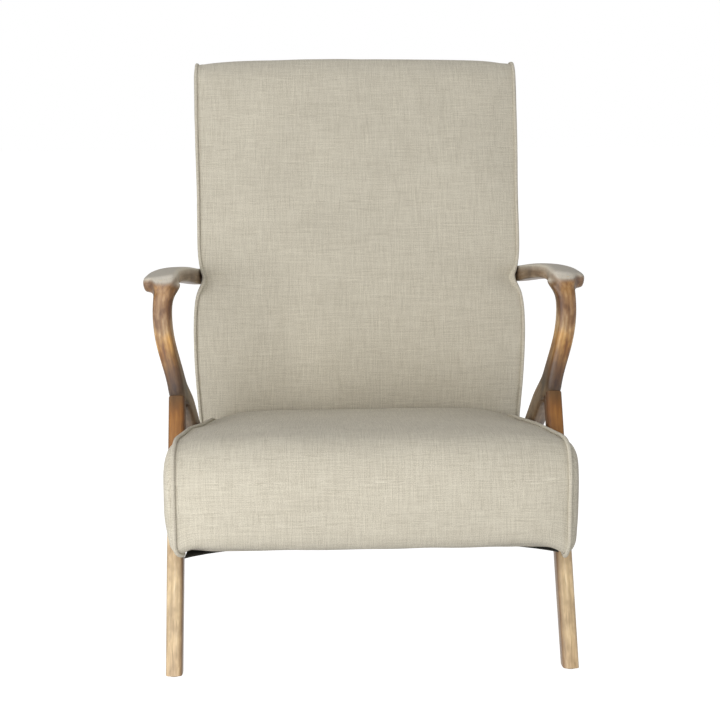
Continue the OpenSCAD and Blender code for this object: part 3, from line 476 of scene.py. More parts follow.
def rear_leg_rows():
    """Sections of the post and the rear leg. Each starts as its front point, its rear point, x and half width."""
    post = UNDER - KNEE_Z
    rows = [((POST_Y + 9, UNDER + 9), (POST_Y + 58, UNDER + 9), POST_X - 11, 23),
            ((POST_Y + 4, UNDER - 2), (POST_Y + 54, UNDER), POST_X - 11, 22)]
    for fall, depth, x, half in ((11, 44, POST_X - 6.5, 18.2), (24, 38.5, POST_X - 3.5, 16.2),
                                 (0.25 * post, 37, POST_X - 2, 16),
                                 (0.44 * post, 40, mix(POST_X, KNEE_X, 0.16), 15.8),
                                 (0.62 * post, 43, mix(POST_X, KNEE_X, 0.45), 15.5),
                                 (0.77 * post, 49, mix(POST_X, KNEE_X, 0.74), 15),
                                 (0.89 * post, 57, mix(POST_X, KNEE_X, 0.92), 14.5)):
        rows.append(((POST_Y, UNDER - fall), (POST_Y + depth, UNDER - fall * 0.965), x, half))

    def lower(u):
        return (POST_Y + u, KNEE_Z - u * SLOPE)

    rows.append((lower(0), (POST_Y + 67, KNEE_Z + 16), KNEE_X, 14.5))
    rows.append((lower(8), (POST_Y + 77, KNEE_Z + 6), KNEE_X - 2, 14.5))
    for u, depth in ((20, 68), (42, 65), (80, 61), (170, 58), (290, 55), (380, 52)):
        a = lower(u)
        x = mix(KNEE_X, HEEL_X, 0.12 + 0.88 * (u + 10) / (HEEL_Y - POST_Y))
        rows.append((a, (a[0] + depth, a[1] + 4), x, 14.5))
    rows.append(((HEEL_Y, 3), (HEEL_Y + 47, 3), HEEL_X, 13.5))
    rows.append(((HEEL_Y + 6, -3), (HEEL_Y + 53, -3), HEEL_X, 13.5))
    out = []
    for a, b, x, half in rows:
        deep = math.hypot(b[0] - a[0], b[1] - a[1]) / 2
        out.append(((x, (a[0] + b[0]) / 2, (a[1] + b[1]) / 2), half, deep,
                    math.degrees(math.atan2(b[1] - a[1], b[0] - a[0])), 0))
    return out


def arm_rows():
    """Sections of the arm. Each starts as its depth, inner and outer side, top, underside and droop of the wing."""
    inner = POST_X - MEMBER
    outer = inner + 57
    rows = [(POST_Y + 3, POST_X - 19, POST_X + 8, CREST - 17, UNDER - 1, 0),
            (POST_Y + 9, POST_X - 23, POST_X + 11, CREST - 8, UNDER - 2, 0),
            (POST_Y + 19, POST_X - 27, POST_X + 14, CREST - 3, UNDER - 1, 2),
            (POST_Y + 23, POST_X - 28, outer - 3, CREST - 1.6, UNDER - 1, 7),
            (POST_Y + 27, inner, outer + 2.5, CREST - 1.2, UNDER - 3, 9),
            (POST_Y + 48, inner, outer + 2.5, CREST - 0.4, UNDER - 5, 9),
            (POST_Y + 68, inner, outer, CREST, UNDER - 4, 8),
            (mix(POST_Y, ARM_END_Y, 0.245), inner, outer - 3, CREST + 0.5, CREST - 27, 6)]
    for k, fall, i, o, thick in ((0.42, 0.16, 0.38, 0.27, 27.5), (0.61, 0.46, 0.8, 0.58, 29),
                                 (0.79, 0.78, 1, 0.85, 30)):
        low = CREST - fall * 37 - 26
        rows.append((mix(POST_Y, ARM_END_Y, k), mix(inner, ARM_END_X, i), mix(outer - 4, ARM_END_X + 21, o),
                     low + thick, low, 2 * (1 - k)))
    for back, i, o, top, low in ((23, -9, 0, -4, 0), (5, -9, -1, -3.5, -1), (1, -8, -3, 0, -4)):
        rows.append((ARM_END_Y - back, ARM_END_X + i, ARM_END_X + 21 + o, CREST - 37 - top, CREST - 63 - low, 0))
    out = []
    for y, x0, x1, top, low, droop in rows:
        half = (x1 - x0) / 2
        out.append((((x0 + x1) / 2, y, (top + low) / 2 - droop / 3), half, (top - low) / 2, 90,
                    math.degrees(math.atan2(droop, 2 * half))))
    return out


def along_line(p, line):
    """Place of p in a blank with this middle line: offset across, offset in depth, distance along. Metres."""
    best, along = None, 0.0
    for a, b in zip(line, line[1:]):
        ab = b - a
        t = share((p - a).dot(ab) / ab.length_squared)
        off = p - (a + ab * t)
        if best is None or off.length < best[0]:
            best = (off.length, off, along + t * ab.length, ab.normalized())
        along += ab.length
    off, far, way = best[1], best[2], best[3]
    return Vector((off.x, off.dot(way.cross(Vector((1, 0, 0))).normalized()), far)) / 1000


def lay_grain(obj, leg, arm=None, seed=0.0):
    """Stores the place of each point in the blank of the leg and of the arm, and how far it belongs to the arm."""
    places = {"leg_grain": [], "arm_grain": []}
    arm_and_sheen_mask = []
    for v in obj.data.vertices:
        p = in_millimetres(v.co)
        places["leg_grain"] += list(along_line(p, leg) + Vector((seed, 0, 0)))
        places["arm_grain"] += list(along_line(p, arm) + Vector((0.3, 0, 0))) if arm else [0, 0, 0]
        wing = eased((p.x - POST_X - 13) / 6)
        over = eased((p.y - POST_Y - 5) / 26)
        # The share of the arm also bounds the painted sheen on its top.
        if arm and p.y < POST_Y + 60:
            arm_and_sheen_mask.append(max(eased((p.z - UNDER - 2) / 13), eased((p.z - UNDER + 12) / 20) * max(wing, over)))
        else:
            arm_and_sheen_mask.append(float(bool(arm) and p.z > 480))
    for name, values in places.items():
        obj.data.attributes.new(name, "FLOAT_VECTOR", "POINT").data.foreach_set("vector", values)
    obj.data.attributes.new("arm_share", "FLOAT", "POINT").data.foreach_set("value", arm_and_sheen_mask)


# Materials
def colour(code):
    """sRGB hex to the linear colour that Blender reads."""
    out = []
    for i in (1, 3, 5):
        c = int(code[i:i + 2], 16) / 255
        out.append(c / 12.92 if c <= 0.04045 else ((c + 0.055) / 1.055) ** 2.4)
    return (*out, 1.0)


def add(tree, kind, inputs=None, **settings):
    """Adds a node with its settings, and sets or links its inputs."""
    made = tree.nodes.new(kind)
    for key, value in settings.items():
        setattr(made, key, value)
    for key, value in (inputs or {}).items():
        if isinstance(value, bpy.types.NodeSocket):
            tree.links.new(value, made.inputs[key])
        else:
            made.inputs[key].default_value = value
    return made


def blank_material(name):
    material = bpy.data.materials.new(name)
    material.use_nodes = True
    material.node_tree.nodes.clear()
    return material


def ramp(tree, factor, *stops):
    made = add(tree, "ShaderNodeValToRGB", {"Fac": factor})
    elements = made.color_ramp.elements
    while len(elements) < len(stops):
        elements.new(0.5)
    for element, (position, value) in zip(elements, stops):
        element.position = position
        element.color = colour(value) if isinstance(value, str) else (value, value, value, 1)
    return made.outputs["Color"]


def tinted(t, base, tint, share_of, kind="MIX"):
    """Mixes or multiplies a tint into a colour."""
    return add(t, "ShaderNodeMix", {0: share_of, 6: base, 7: tint}, data_type="RGBA", blend_type=kind).outputs[2]


def linen(name, light, mid, dark):
    """Plain woven linen and cotton, matt, with a fine crosshatch of uneven threads, darker slubs and the soft
    clouds of the wadding under it. The threads are about 0.6 mm apart, and are drawn 1.1 mm wide, and the slubs
    1.6 mm, so that they show."""
    t = blank_material(name).node_tree
    uv = add(t, "ShaderNodeUVMap", uv_map="cloth").outputs["UV"]
    place_on = add(t, "ShaderNodeTexCoord").outputs["Object"]

    def drawn_out(scale, offset):
        """Noise drawn out along the threads, with each thread shifted by its own amount."""
        lengthways = scale[0] < scale[1]
        across = (0, scale[1], 1) if lengthways else (scale[0], 0, 1)
        own = add(t, "ShaderNodeMapping", {"Vector": uv, "Scale": across, "Location": offset}).outputs["Vector"]
        own = add(t, "ShaderNodeTexNoise", {"Vector": own, "Scale": 1.0, "Detail": 0.0}).outputs["Color"]
        most = (14, 0, 0) if lengthways else (0, 14, 0)
        own = add(t, "ShaderNodeVectorMath", {0: own, 1: most}, operation="MULTIPLY").outputs[0]
        at = add(t, "ShaderNodeMapping", {"Vector": uv, "Scale": scale, "Location": offset}).outputs["Vector"]
        at = add(t, "ShaderNodeVectorMath", {0: at, 1: own}, operation="ADD").outputs[0]
        drawn = {"Vector": at, "Scale": 1.0, "Detail": 1.0, "Roughness": 0.6}
        return add(t, "ShaderNodeTexNoise", drawn).outputs["Fac"]

    threads = [drawn_out((38, 930, 1), (0, 0, 3)), drawn_out((930, 34, 1), (5, 2, 9))]
    slubs = [ramp(t, drawn_out(scale, offset), (0.62, 0.0), (0.74, 1.0))
             for scale, offset in (((34, 620, 1), (1, 4, 2)), ((620, 26, 1), (3, 7, 5)))]
    weave = add(t, "ShaderNodeMath", {0: threads[0], 1: threads[1]}, operation="ADD").outputs[0]
    fibre = {"Vector": uv, "Scale": 640.0, "Detail": 2.0, "Roughness": 0.6}
    fibre = add(t, "ShaderNodeTexNoise", fibre).outputs["Fac"]
    fibre = add(t, "ShaderNodeMath", {0: fibre, 1: 0.9}, operation="MULTIPLY").outputs[0]
    weave = add(t, "ShaderNodeMath", {0: weave, 1: fibre}, operation="ADD").outputs[0]
    weave = add(t, "ShaderNodeMath", {0: weave, 1: 1 / 2.9}, operation="MULTIPLY").outputs[0]
    base = ramp(t, weave, (0.43, dark), (0.5, mid), (0.57, light))
    cloud = add(t, "ShaderNodeTexNoise", {"Vector": place_on, "Scale": 9.0, "Detail": 2.0}).outputs["Fac"]
    cloudy = ramp(t, cloud, (0.35, 0.955), (0.65, 1.0))
    base = tinted(t, base, cloudy, 1.0, "MULTIPLY")
    slub = add(t, "ShaderNodeMath", {0: slubs[0], 1: slubs[1]}, operation="MAXIMUM").outputs[0]
    slub = add(t, "ShaderNodeMath", {0: slub, 1: 0.34}, operation="MULTIPLY").outputs[0]
    base = tinted(t, base, colour("#93897a"), slub)
    high = add(t, "ShaderNodeBump", {"Height": weave, "Strength": 0.55, "Distance": 0.0007}).outputs["Normal"]
    shader = add(t, "ShaderNodeBsdfPrincipled", {
        "Base Color": base, "Roughness": 0.92, "IOR": 1.45, "Specular IOR Level": 0.25,
        "Sheen Weight": 0.12, "Sheen Roughness": 0.6, "Normal": high})
    add(t, "ShaderNodeOutputMaterial", {"Surface": shader.outputs[0]})


def wood_grain(t, attribute):
    """Figure of straight grained hardwood along the blank that the attribute stores: the place in the blank, the
    tone of its growth rings, about 5 mm apart, their pattern, the pores, about 0.3 mm wide and drawn 1.3 mm wide
    so that they show, and the distance along the blank."""
    grain = add(t, "ShaderNodeAttribute", attribute_name=attribute).outputs["Vector"]

    def noise_at(place_in, scale, detail):
        at = add(t, "ShaderNodeMapping", {"Vector": place_in, "Scale": scale}).outputs[0]
        return add(t, "ShaderNodeTexNoise", {"Vector": at, "Scale": 1.0, "Detail": detail, "Roughness": 0.55})

    warp = noise_at(grain, (16, 16, 9), 2.0).outputs["Color"]
    bent = add(t, "ShaderNodeVectorMath", {0: warp, 1: (0.014, 0.014, 0.0)}, operation="MULTIPLY").outputs[0]
    bent = add(t, "ShaderNodeVectorMath", {0: grain, 1: bent}, operation="ADD").outputs[0]
    figure = noise_at(bent, (190, 190, 5), 3.0).outputs["Fac"]
    pores = noise_at(bent, (800, 800, 26), 2.0).outputs["Fac"]
    broad = noise_at(grain, (46, 46, 22), 3.0).outputs["Fac"]
    tone = ramp(t, figure, (0.36, "#c6b497"), (0.5, "#ebe1cf"), (0.62, "#ffffff"))
    tone = tinted(t, tone, ramp(t, broad, (0.38, "#ad9a86"), (0.6, "#ffffff")), 1.0, "MULTIPLY")
    patch = add(t, "ShaderNodeMapRange", {"Value": broad, "To Min": -0.03, "To Max": 0.03}).outputs[0]
    far = add(t, "ShaderNodeSeparateXYZ", {0: grain}).outputs[2]
    far = add(t, "ShaderNodeMath", {0: far, 1: patch}, operation="ADD").outputs[0]
    return grain, tone, figure, pores, far


def wood_surface(t, base, figure, pores, vein):
    """Satin oil over open pores, which are darker and a little deeper."""
    base = tinted(t, base, colour(vein), ramp(t, pores, (0.56, 0.0), (0.74, 0.4)))
    low = add(t, "ShaderNodeBump", {"Height": pores, "Strength": 0.25, "Distance": 0.0004}).outputs["Normal"]
    shine = add(t, "ShaderNodeMapRange", {"Value": figure, "To Min": 0.36, "To Max": 0.5}).outputs[0]
    shader = add(t, "ShaderNodeBsdfPrincipled", {
        "Base Color": base, "Roughness": shine, "IOR": 1.5, "Coat Weight": 0.15, "Coat Roughness": 0.35,
        "Normal": low})
    add(t, "ShaderNodeOutputMaterial", {"Surface": shader.outputs[0]})


def oiled_teak(name, honey, brown, dark, vein, grey):
    """Shaped, sanded and oiled teak of the side frames. The oil has taken unevenly, brown under the arm and honey
    half way down the post. Between them a pale band is a painted highlight; below, the wood is nearly black brown
    at the knee and grey brown along the rear leg. The upward faces of the arm are painted a pale satin grey: a
    painted sheen, the reflection of the light from above."""
    t = blank_material(name).node_tree
    _, tone, figure, pores, far = wood_grain(t, "leg_grain")
    far = add(t, "ShaderNodeMapRange", {"Value": far, "From Min": 0.0, "From Max": 0.3}).outputs[0]
    # Tones along the post and rear leg; the two pale stops above the honey are a painted highlight.
    leg = ramp(t, far, (0.05, dark), (0.11, brown), (0.2, "#c2a27c"), (0.28, "#cbac84"), (0.36, honey),
               (0.43, "#b48c55"), (0.52, "#765533"), (0.62, "#4c3823"), (0.68, "#6c5842"), (0.8, "#94806a"))
    leg = tinted(t, leg, tone, 1.0, "MULTIPLY")
    _, tone, _, _, far = wood_grain(t, "arm_grain")
    far = add(t, "ShaderNodeMapRange", {"Value": far, "From Min": 0.0, "From Max": 0.4}).outputs[0]
    arm = ramp(t, far, (0.04, "#927050"), (0.14, "#a58b70"), (0.5, "#98836c"))
    arm = tinted(t, arm, tone, 1.0, "MULTIPLY")
    of_arm = add(t, "ShaderNodeAttribute", attribute_name="arm_share").outputs["Fac"]
    base = tinted(t, leg, arm, of_arm)
    # The upward faces of the arm are mixed towards a pale grey: a painted sheen, the reflection of the light from
    # above.
    up = add(t, "ShaderNodeSeparateXYZ", {0: add(t, "ShaderNodeNewGeometry").outputs["Normal"]}).outputs[2]
    up = ramp(t, up, (0.0, 0.0), (0.5, 1.0))
    arm_and_sheen_mask = add(t, "ShaderNodeMath", {0: up, 1: of_arm}, operation="MULTIPLY").outputs[0]
    arm_and_sheen_mask = add(t, "ShaderNodeMath", {0: arm_and_sheen_mask, 1: 0.8}, operation="MULTIPLY").outputs[0]
    wood_surface(t, tinted(t, base, colour(grey), arm_and_sheen_mask), figure, pores, vein)


def faded_teak(name, pale, vein):
    """Oiled teak of the front legs: satin, orange brown at the knee and bleached by the sun below the seat. Both
    long edges are darker, the inner one most: painted shade where their rounded corners turn from the light."""
    t = blank_material(name).node_tree
    grain, tone, figure, pores, _ = wood_grain(t, "leg_grain")
    height = add(t, "ShaderNodeSeparateXYZ", {0: add(t, "ShaderNodeTexCoord").outputs["Object"]}).outputs[2]
    height = add(t, "ShaderNodeMapRange", {"Value": height, "From Min": 0.0, "From Max": 0.41}).outputs[0]
    base = ramp(t, height, (0.0, "#e2c8a3"), (0.2, pale), (0.5, "#ecd5af"), (0.74, "#ac7d4a"), (0.92, "#a8743a"),
                (0.98, "#7c5c38"))
    base = tinted(t, base, tone, 0.6, "MULTIPLY")
    across = add(t, "ShaderNodeSeparateXYZ", {0: grain}).outputs[0]
    # Darker long edges, the inner one most: painted shade of the rounded corners.
    for low, high, most in ((0.693, 0.688, 0.75), (0.7105, 0.7135, 0.4)):
        edge = {"Value": across, "From Min": low, "From Max": high, "To Max": most}
        edge = add(t, "ShaderNodeMapRange", edge).outputs[0]
        base = tinted(t, base, colour("#94785e"), edge, "MULTIPLY")
    wood_surface(t, base, figure, pores, vein)


def simple_finish(name, base, second, scale, roughness, metallic=0.0, bump=0.0003, stretch=(1, 1, 1)):
    """Two tones mixed by noise of a real size, with a light bump."""
    t = blank_material(name).node_tree
    at = add(t, "ShaderNodeTexCoord").outputs["Object"]
    at = add(t, "ShaderNodeMapping", {"Vector": at, "Scale": stretch}).outputs[0]
    spots = add(t, "ShaderNodeTexNoise", {"Vector": at, "Scale": scale, "Detail": 3.0}).outputs["Fac"]
    tone = ramp(t, spots, (0.35, second), (0.65, base))
    high = add(t, "ShaderNodeBump", {"Height": spots, "Strength": 0.4, "Distance": bump}).outputs["Normal"]
    rough = {"Value": spots, "To Min": roughness - 0.06, "To Max": roughness + 0.06}
    rough = add(t, "ShaderNodeMapRange", rough).outputs[0]
    shader = add(t, "ShaderNodeBsdfPrincipled", {
        "Base Color": tone, "Roughness": rough, "Metallic": metallic, "Normal": high})
    add(t, "ShaderNodeOutputMaterial", {"Surface": shader.outputs[0]})


def wear(obj, material):
    """Gives obj this one material."""
    obj.data.materials.clear()
    obj.data.materials.append(material)


# Sizes and colours that a user would change
class LoungeUpholsterySettings(bpy.types.PropertyGroup):
    seat_cord: bpy.props.FloatProperty(
        name="Seat cord", description="Radius of the piping round the seat", default=0.0033, unit="LENGTH")
    back_cord: bpy.props.FloatProperty(
        name="Back cord", description="Radius of the piping round the back", default=0.0029, unit="LENGTH")
    swell: bpy.props.FloatProperty(
        name="Swell", description="Most that the cover swells between its seams", default=0.004, unit="LENGTH")
    pinch: bpy.props.FloatProperty(
        name="Pinch", description="Depth of the pull in the cover at the end of each arm",
        default=0.013, unit="LENGTH")
    light: bpy.props.StringProperty(
        name="Light threads", description="Hex colour of the light threads", default="#d9d3c2")
    mid: bpy.props.StringProperty(
        name="Cloth", description="Hex colour of the cloth as a whole", default="#cbc4b3")
    dark: bpy.props.StringProperty(
        name="Dark threads", description="Hex colour of the dark threads", default="#b0a896")


class LoungeFrameSettings(bpy.types.PropertyGroup):
    voxel: bpy.props.FloatProperty(
        name="Grain of the mesh", description="Size of the faces of the side frames",
        default=0.0022, unit="LENGTH")
    honey: bpy.props.StringProperty(
        name="Honey wood", description="Hex colour of the wood half way down the post", default="#d8aa66")
    brown: bpy.props.StringProperty(
        name="Brown wood", description="Hex colour of the wood below the arm", default="#a67e4e")
    dark: bpy.props.StringProperty(
        name="Dark wood", description="Hex colour of the wood at the top of the post", default="#8b6c47")
    pale: bpy.props.StringProperty(
        name="Pale wood", description="Hex colour of the front legs below the seat", default="#f1dbb4")


class LoungeStudioSettings(bpy.types.PropertyGroup):
    key: bpy.props.FloatProperty(
        name="Key light", description="Power of the lights, in watts", default=83.5, unit="POWER")
    fill: bpy.props.FloatProperty(
        name="Sky", description="Strength of the light from all round", default=0.25)


class LOUNGE_OT_seat(bpy.types.Operator):
    """Makes the padded seat with its side panels"""
    bl_idname = "lounge.seat"
    bl_label = "Seat upholstery"

    def execute(self, context):
        own = context.scene.lounge_upholstery
        # Share of the swell of the side panel at each distance from the seam
        table = [(3, 0), (5, 0.4), (10, 0.72), (20, 0.93), (39, 1), (60, 1)]
        rings = [(d, curve(table, d)) for d in (4, 5.5, 8, 11, 15, 20, 27, 36, 46, 57)]
        seat, held = upholstered("seat_upholstery", seat_loop, seat_point, rings,
                                 lambda p, s: seat_swell(p[0]) * mix(0.65 + 0.2 * s, 1, eased((p[1] - 190) / 75)),
                                 lambda i, n: 88 < i < 160)
        puff(seat, held, 4.0, own.swell)
        shift_along_normals(seat, lambda x, y, z, n: (0.9 * uneven(x, y, z, 95, 3.1)
                                                      + 0.35 * uneven(x, y, z, 38, 8.2)))
        finish_with(seat, "SUBSURF", levels=1, render_levels=1)
        smooth(seat)
        wear(seat, bpy.data.materials["linen_seat"])
        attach(seat, "root")
        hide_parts("seat_cover", "seat_side_panel_left", "seat_side_panel_right", "seat_foam")
        return {"FINISHED"}


class LOUNGE_OT_back(bpy.types.Operator):
    """Makes the padded back with its side panels"""
    bl_idname = "lounge.back"
    bl_label = "Back upholstery"

    def execute(self, context):
        own = context.scene.lounge_upholstery
        table = [(3, 0), (5, 0.6), (11, 1), (30, 1.25)]
        rings = [(d, curve(table, d)) for d in (4, 5.5, 8, 11, 16, 22, 28)]
        back, held = upholstered("back_upholstery", back_loop, back_point, rings, lambda p, s: 4.0,
                                 lambda i, n: i > 96 or i < 2)
        puff(back, held, 4.0, own.swell)

        def pull(x, y, z, n):
            """Soft wadding, and a pull in the cover at the end of each arm with a weaker one below it."""
            soft = 1.0 * uneven(x, y, z, 120, 5.7) + 0.35 * uneven(x, y, z, 45, 1.3)
            inwards = back_w(z) - abs(x)
            fold = math.exp(-((z - 567 + 0.08 * inwards) / 11) ** 2) * eased(1 - inwards / 75) * eased(inwards / 4)
            low = math.exp(-((z - 546 - 0.2 * inwards) / 8) ** 2) * eased(1 - inwards / 40) * eased(inwards / 5)
            return soft - own.pinch * 1000 * share(-n.y) * (fold + 0.3 * low)

        shift_along_normals(back, pull)
        finish_with(back, "SUBSURF", levels=1, render_levels=1)
        smooth(back)
        wear(back, bpy.data.materials["linen_back"])
        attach(back, "root")
        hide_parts("back_cover", "back_side_panel_left", "back_side_panel_right", "back_foam")
        return {"FINISHED"}


class LOUNGE_OT_outside_back(bpy.types.Operator):
    """Makes the covered panel that closes the back from behind"""
    bl_idname = "lounge.outside_back"
    bl_label = "Outside back"

    def execute(self, context):
        low, top, inset = 222.0, 954.0, 4.6
        rings = []
        across = across_loops(286, (0, 1.5, 3.5, 7, 12))
        heights = [low, low + 1.5, low + 4, low + 9] + [mix(low + 16, top - 16, i / 60) for i in range(61)]
        heights += [top - 9, top - 4, top - 1.5, top]
        for s in across:
            ring = []
            for z in heights:
                x = s * (back_w(z) - inset)
                edge = min(abs(abs(x) - (back_w(z) - inset)), z - low, top - z)
                out = 1.4 - 3.4 * (1 - share(edge / 9)) ** 2 + 2.2 * (1 - s ** 4) * share(edge / 60)
                ring.append((x, curve(REAR_LINE, z) + out, z))
            inner = [(x, curve(REAR_LINE, z) - 2.6, z) for x, _, z in reversed(ring)]
            rings.append(ring + inner)

        def uvs(strip, j, i):
            x, _, z = rings[j][i % len(rings[0])]
            return (x / 1000, z / 1000)

        panel = skin("outside_back", rings, uvs)
        smooth(panel, 50)
        wear(panel, bpy.data.materials["linen_back"])
        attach(panel, "root")
        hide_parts("back_rear_panel")
        return {"FINISHED"}


class LOUNGE_OT_lining(bpy.types.Operator):
    """Draws the two front corners of the lining under the seat out to the seams"""
    bl_idname = "lounge.lining"
    bl_label = "Lining"

    def execute(self, context):
        sheet = new_object("seat_lining", frame["nodes"]["dust_cover"].data.copy())
        bm = bmesh.new()
        bm.from_mesh(sheet.data)
        bmesh.ops.remove_doubles(bm, verts=bm.verts, dist=1e-5)
        for v in bm.verts:
            if v.co.y * 1000 + MIDDLE < 100:
                out = eased((abs(v.co.x) * 1000 - 240) / 50)
                v.co += Vector((math.copysign(0.006, v.co.x), -0.009, 0.0025)) * out
        bm.to_mesh(sheet.data)
        bm.free()
        wear(sheet, bpy.data.materials["spun_lining"])
        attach(sheet, "root")
        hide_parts("dust_cover")
        return {"FINISHED"}


class LOUNGE_OT_piping(bpy.types.Operator):
    """Makes the four loops of piping along the seams"""
    bl_idname = "lounge.piping"
    bl_label = "Piping"

    def execute(self, context):
        own = context.scene.lounge_upholstery
        for name, loop, point, radius, node in (
                ("seat_piping", seat_loop, seat_point, own.seat_cord * 1000, "seat_welt"),
                ("back_piping", back_loop, back_point, own.back_cord * 1000, "back_welt")):
            for side, s in (("_right", 1), ("_left", -1)):
                piece = cord_tube(name + side, [point(p, s, 0.6) for p in loop(3 - radius + 0.9)], radius)
                smooth(piece)
                wear(piece, bpy.data.materials["linen_piping"])
                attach(piece, "root")
                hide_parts(node + side)
        return {"FINISHED"}


class LOUNGE_OT_side_frames(bpy.types.Operator):
    """Makes the two side frames of arm, post and rear leg"""
    bl_idname = "lounge.side_frames"
    bl_label = "Side frames"

    def execute(self, context):
        leg = shaped_member("side_frame_right", rear_leg_rows())
        arm = shaped_member("arm", arm_rows())
        for piece in (leg, arm):
            finish_with(piece, "SUBSURF", levels=2, render_levels=2)
        cut_flat(leg, place(0, 0, 3), (0, 0, -1))
        alone(leg)
        arm.select_set(True)
        bpy.ops.object.join()
        leg.data.remesh_voxel_size = context.scene.lounge_frame.voxel
        bpy.ops.object.voxel_remesh()
        blend = leg.vertex_groups.new(name="blend")
        middle = Vector((POST_X, POST_Y + 24, UNDER - 2))
        for v in leg.data.vertices:
            p = in_millimetres(v.co)
            near = eased(1 - ((p - middle).length - 14) / 34)
            if near > 0:
                blend.add([v.index], near, "REPLACE")
        finish_with(leg, "SMOOTH", factor=0.5, iterations=44, vertex_group="blend")
        leg.vertex_groups.remove(leg.vertex_groups["blend"])
        finish_with(leg, "SMOOTH", factor=0.5, iterations=3)
        # The knee joint ends where its slope meets the back of the front leg
        rear = (2 + LEG_DEEP - 3 * RAKE + RAKE * (JOINT[1] + JOINT[0] * SLOPE)) / (1 + RAKE * SLOPE)
        tilt = math.atan(RAKE)
        below = (rear - 70 * math.sin(tilt), joint_z(rear) - 70 * math.cos(tilt))
        knee = prism([(POST_Y - 30, joint_z(POST_Y - 30)), (rear, joint_z(rear)), below,
                      (POST_Y - 90, KNEE_Z - 75)], KNEE_X - MEMBER, KNEE_X + MEMBER)
        cut_with(leg, [knee] + [bore for b in REAR_BOLTS for bore in bolt_bores(*b)])
        lay_grain(leg, [Vector(r[0]) for r in rear_leg_rows()], [Vector(r[0]) for r in arm_rows()])
        smooth(leg, 40)
        wear(leg, bpy.data.materials["oiled_teak"])
        left = mirrored_copy(leg, "side_frame_left")
        for piece, side in ((leg, "right"), (left, "left")):
            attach(piece, "root")
            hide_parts("arm_" + side, "rear_leg_" + side)
        return {"FINISHED"}


class LOUNGE_OT_front_legs(bpy.types.Operator):
    """Makes the two front legs, cut flat at the knee joint"""
    bl_idname = "lounge.front_legs"
    bl_label = "Front legs"

    def execute(self, context):
        rows = []
        for z, less, ahead in ((-4, -5, 0.3), (3, -4, 0.5), (11, -2.5, 1), (0.37 * KNEE_Z, -1, 1),
                               (0.75 * KNEE_Z, 0, 1), (1.1 * KNEE_Z, 0, 1), (1.2 * KNEE_Z, 0, 1)):
            deep = LEG_DEEP + less
            centre = (mix(FOOT_X, KNEE_X, z / KNEE_Z), leg_front(z) + 1 - ahead + deep / 2, z)
            rows.append((centre, 14.2 if z > 20 else 13.5, deep / 2, 0, 0))
        leg = shaped_member("front_leg_wood_right", rows)
        finish_with(leg, "SUBSURF", levels=3, render_levels=3)
        cut_flat(leg, place(0, 0, 3), (0, 0, -1))
        cut_flat(leg, place(0, JOINT[0], JOINT[1] - 0.4), (0, math.sin(LEAN), math.cos(LEAN)))
        cut_with(leg, bolt_bores(*FRONT_BOLT))
        lay_grain(leg, [Vector(r[0]) for r in rows], seed=0.7)
        smooth(leg, 40)
        wear(leg, bpy.data.materials["faded_teak"])
        left = mirrored_copy(leg, "front_leg_wood_left")
        for piece, side in ((leg, "right"), (left, "left")):
            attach(piece, "root")
            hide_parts("front_leg_" + side)
        return {"FINISHED"}


class LOUNGE_OT_finishes(bpy.types.Operator):
    """Makes all materials and puts them on the CAD parts that stay"""
    bl_idname = "lounge.finishes"
    bl_label = "Finishes"

    def execute(self, context):
        own, wood = context.scene.lounge_upholstery, context.scene.lounge_frame
        for piece in ("seat", "back", "piping"):
            linen("linen_" + piece, own.light, own.mid, own.dark)
        # d8d2c4 is the pale grey of the painted sheen on the arm top.
        oiled_teak("oiled_teak", wood.honey, wood.brown, wood.dark, "#4a3522", "#d8d2c4")
        faded_teak("faded_teak", wood.pale, "#6b4d33")
        # Planed beech, pale and straight grained, with fine flecks.
        simple_finish("planed_beech", "#d9c39a", "#c7ab7c", 60.0, 0.6, stretch=(1, 1, 0.15))
        # Zinc plated steel, dull and faintly mottled.
        simple_finish("zinc_plated_steel", "#a9abad", "#8f9194", 180.0, 0.35, metallic=1.0)
        # Pressed felt, a dense mat of short hair.
        simple_finish("pressed_felt", "#544a41", "#3b342d", 900.0, 0.95, bump=0.0006)
        # Open cell foam, cream, with cells of about 1 mm.
        simple_finish("open_cell_foam", "#e9e2c0", "#cdc49c", 1000.0, 0.9, bump=0.0008)
        # Woven elastic webbing, with ribs of about 2 mm.
        simple_finish("elastic_webbing", "#7c6f5a", "#54493a", 500.0, 0.85, stretch=(1, 0.2, 1))
        # Spun bonded polypropylene lining, thin, matt and nearly black.
        simple_finish("spun_lining", "#3c3c37", "#26261f", 420.0, 0.9)
        slots = {"frame_wood": "oiled_teak", "front_leg_wood": "faded_teak", "hidden_wood": "planed_beech",
                 "steel": "zinc_plated_steel", "felt": "pressed_felt", "foam": "open_cell_foam",
                 "webbing": "elastic_webbing", "lining": "spun_lining", "linen": "linen_seat"}
        for part in frame["record"]["subparts"]:
            wear(frame["nodes"][part["node"]], bpy.data.materials[slots[part["material_slot"]]])
        return {"FINISHED"}


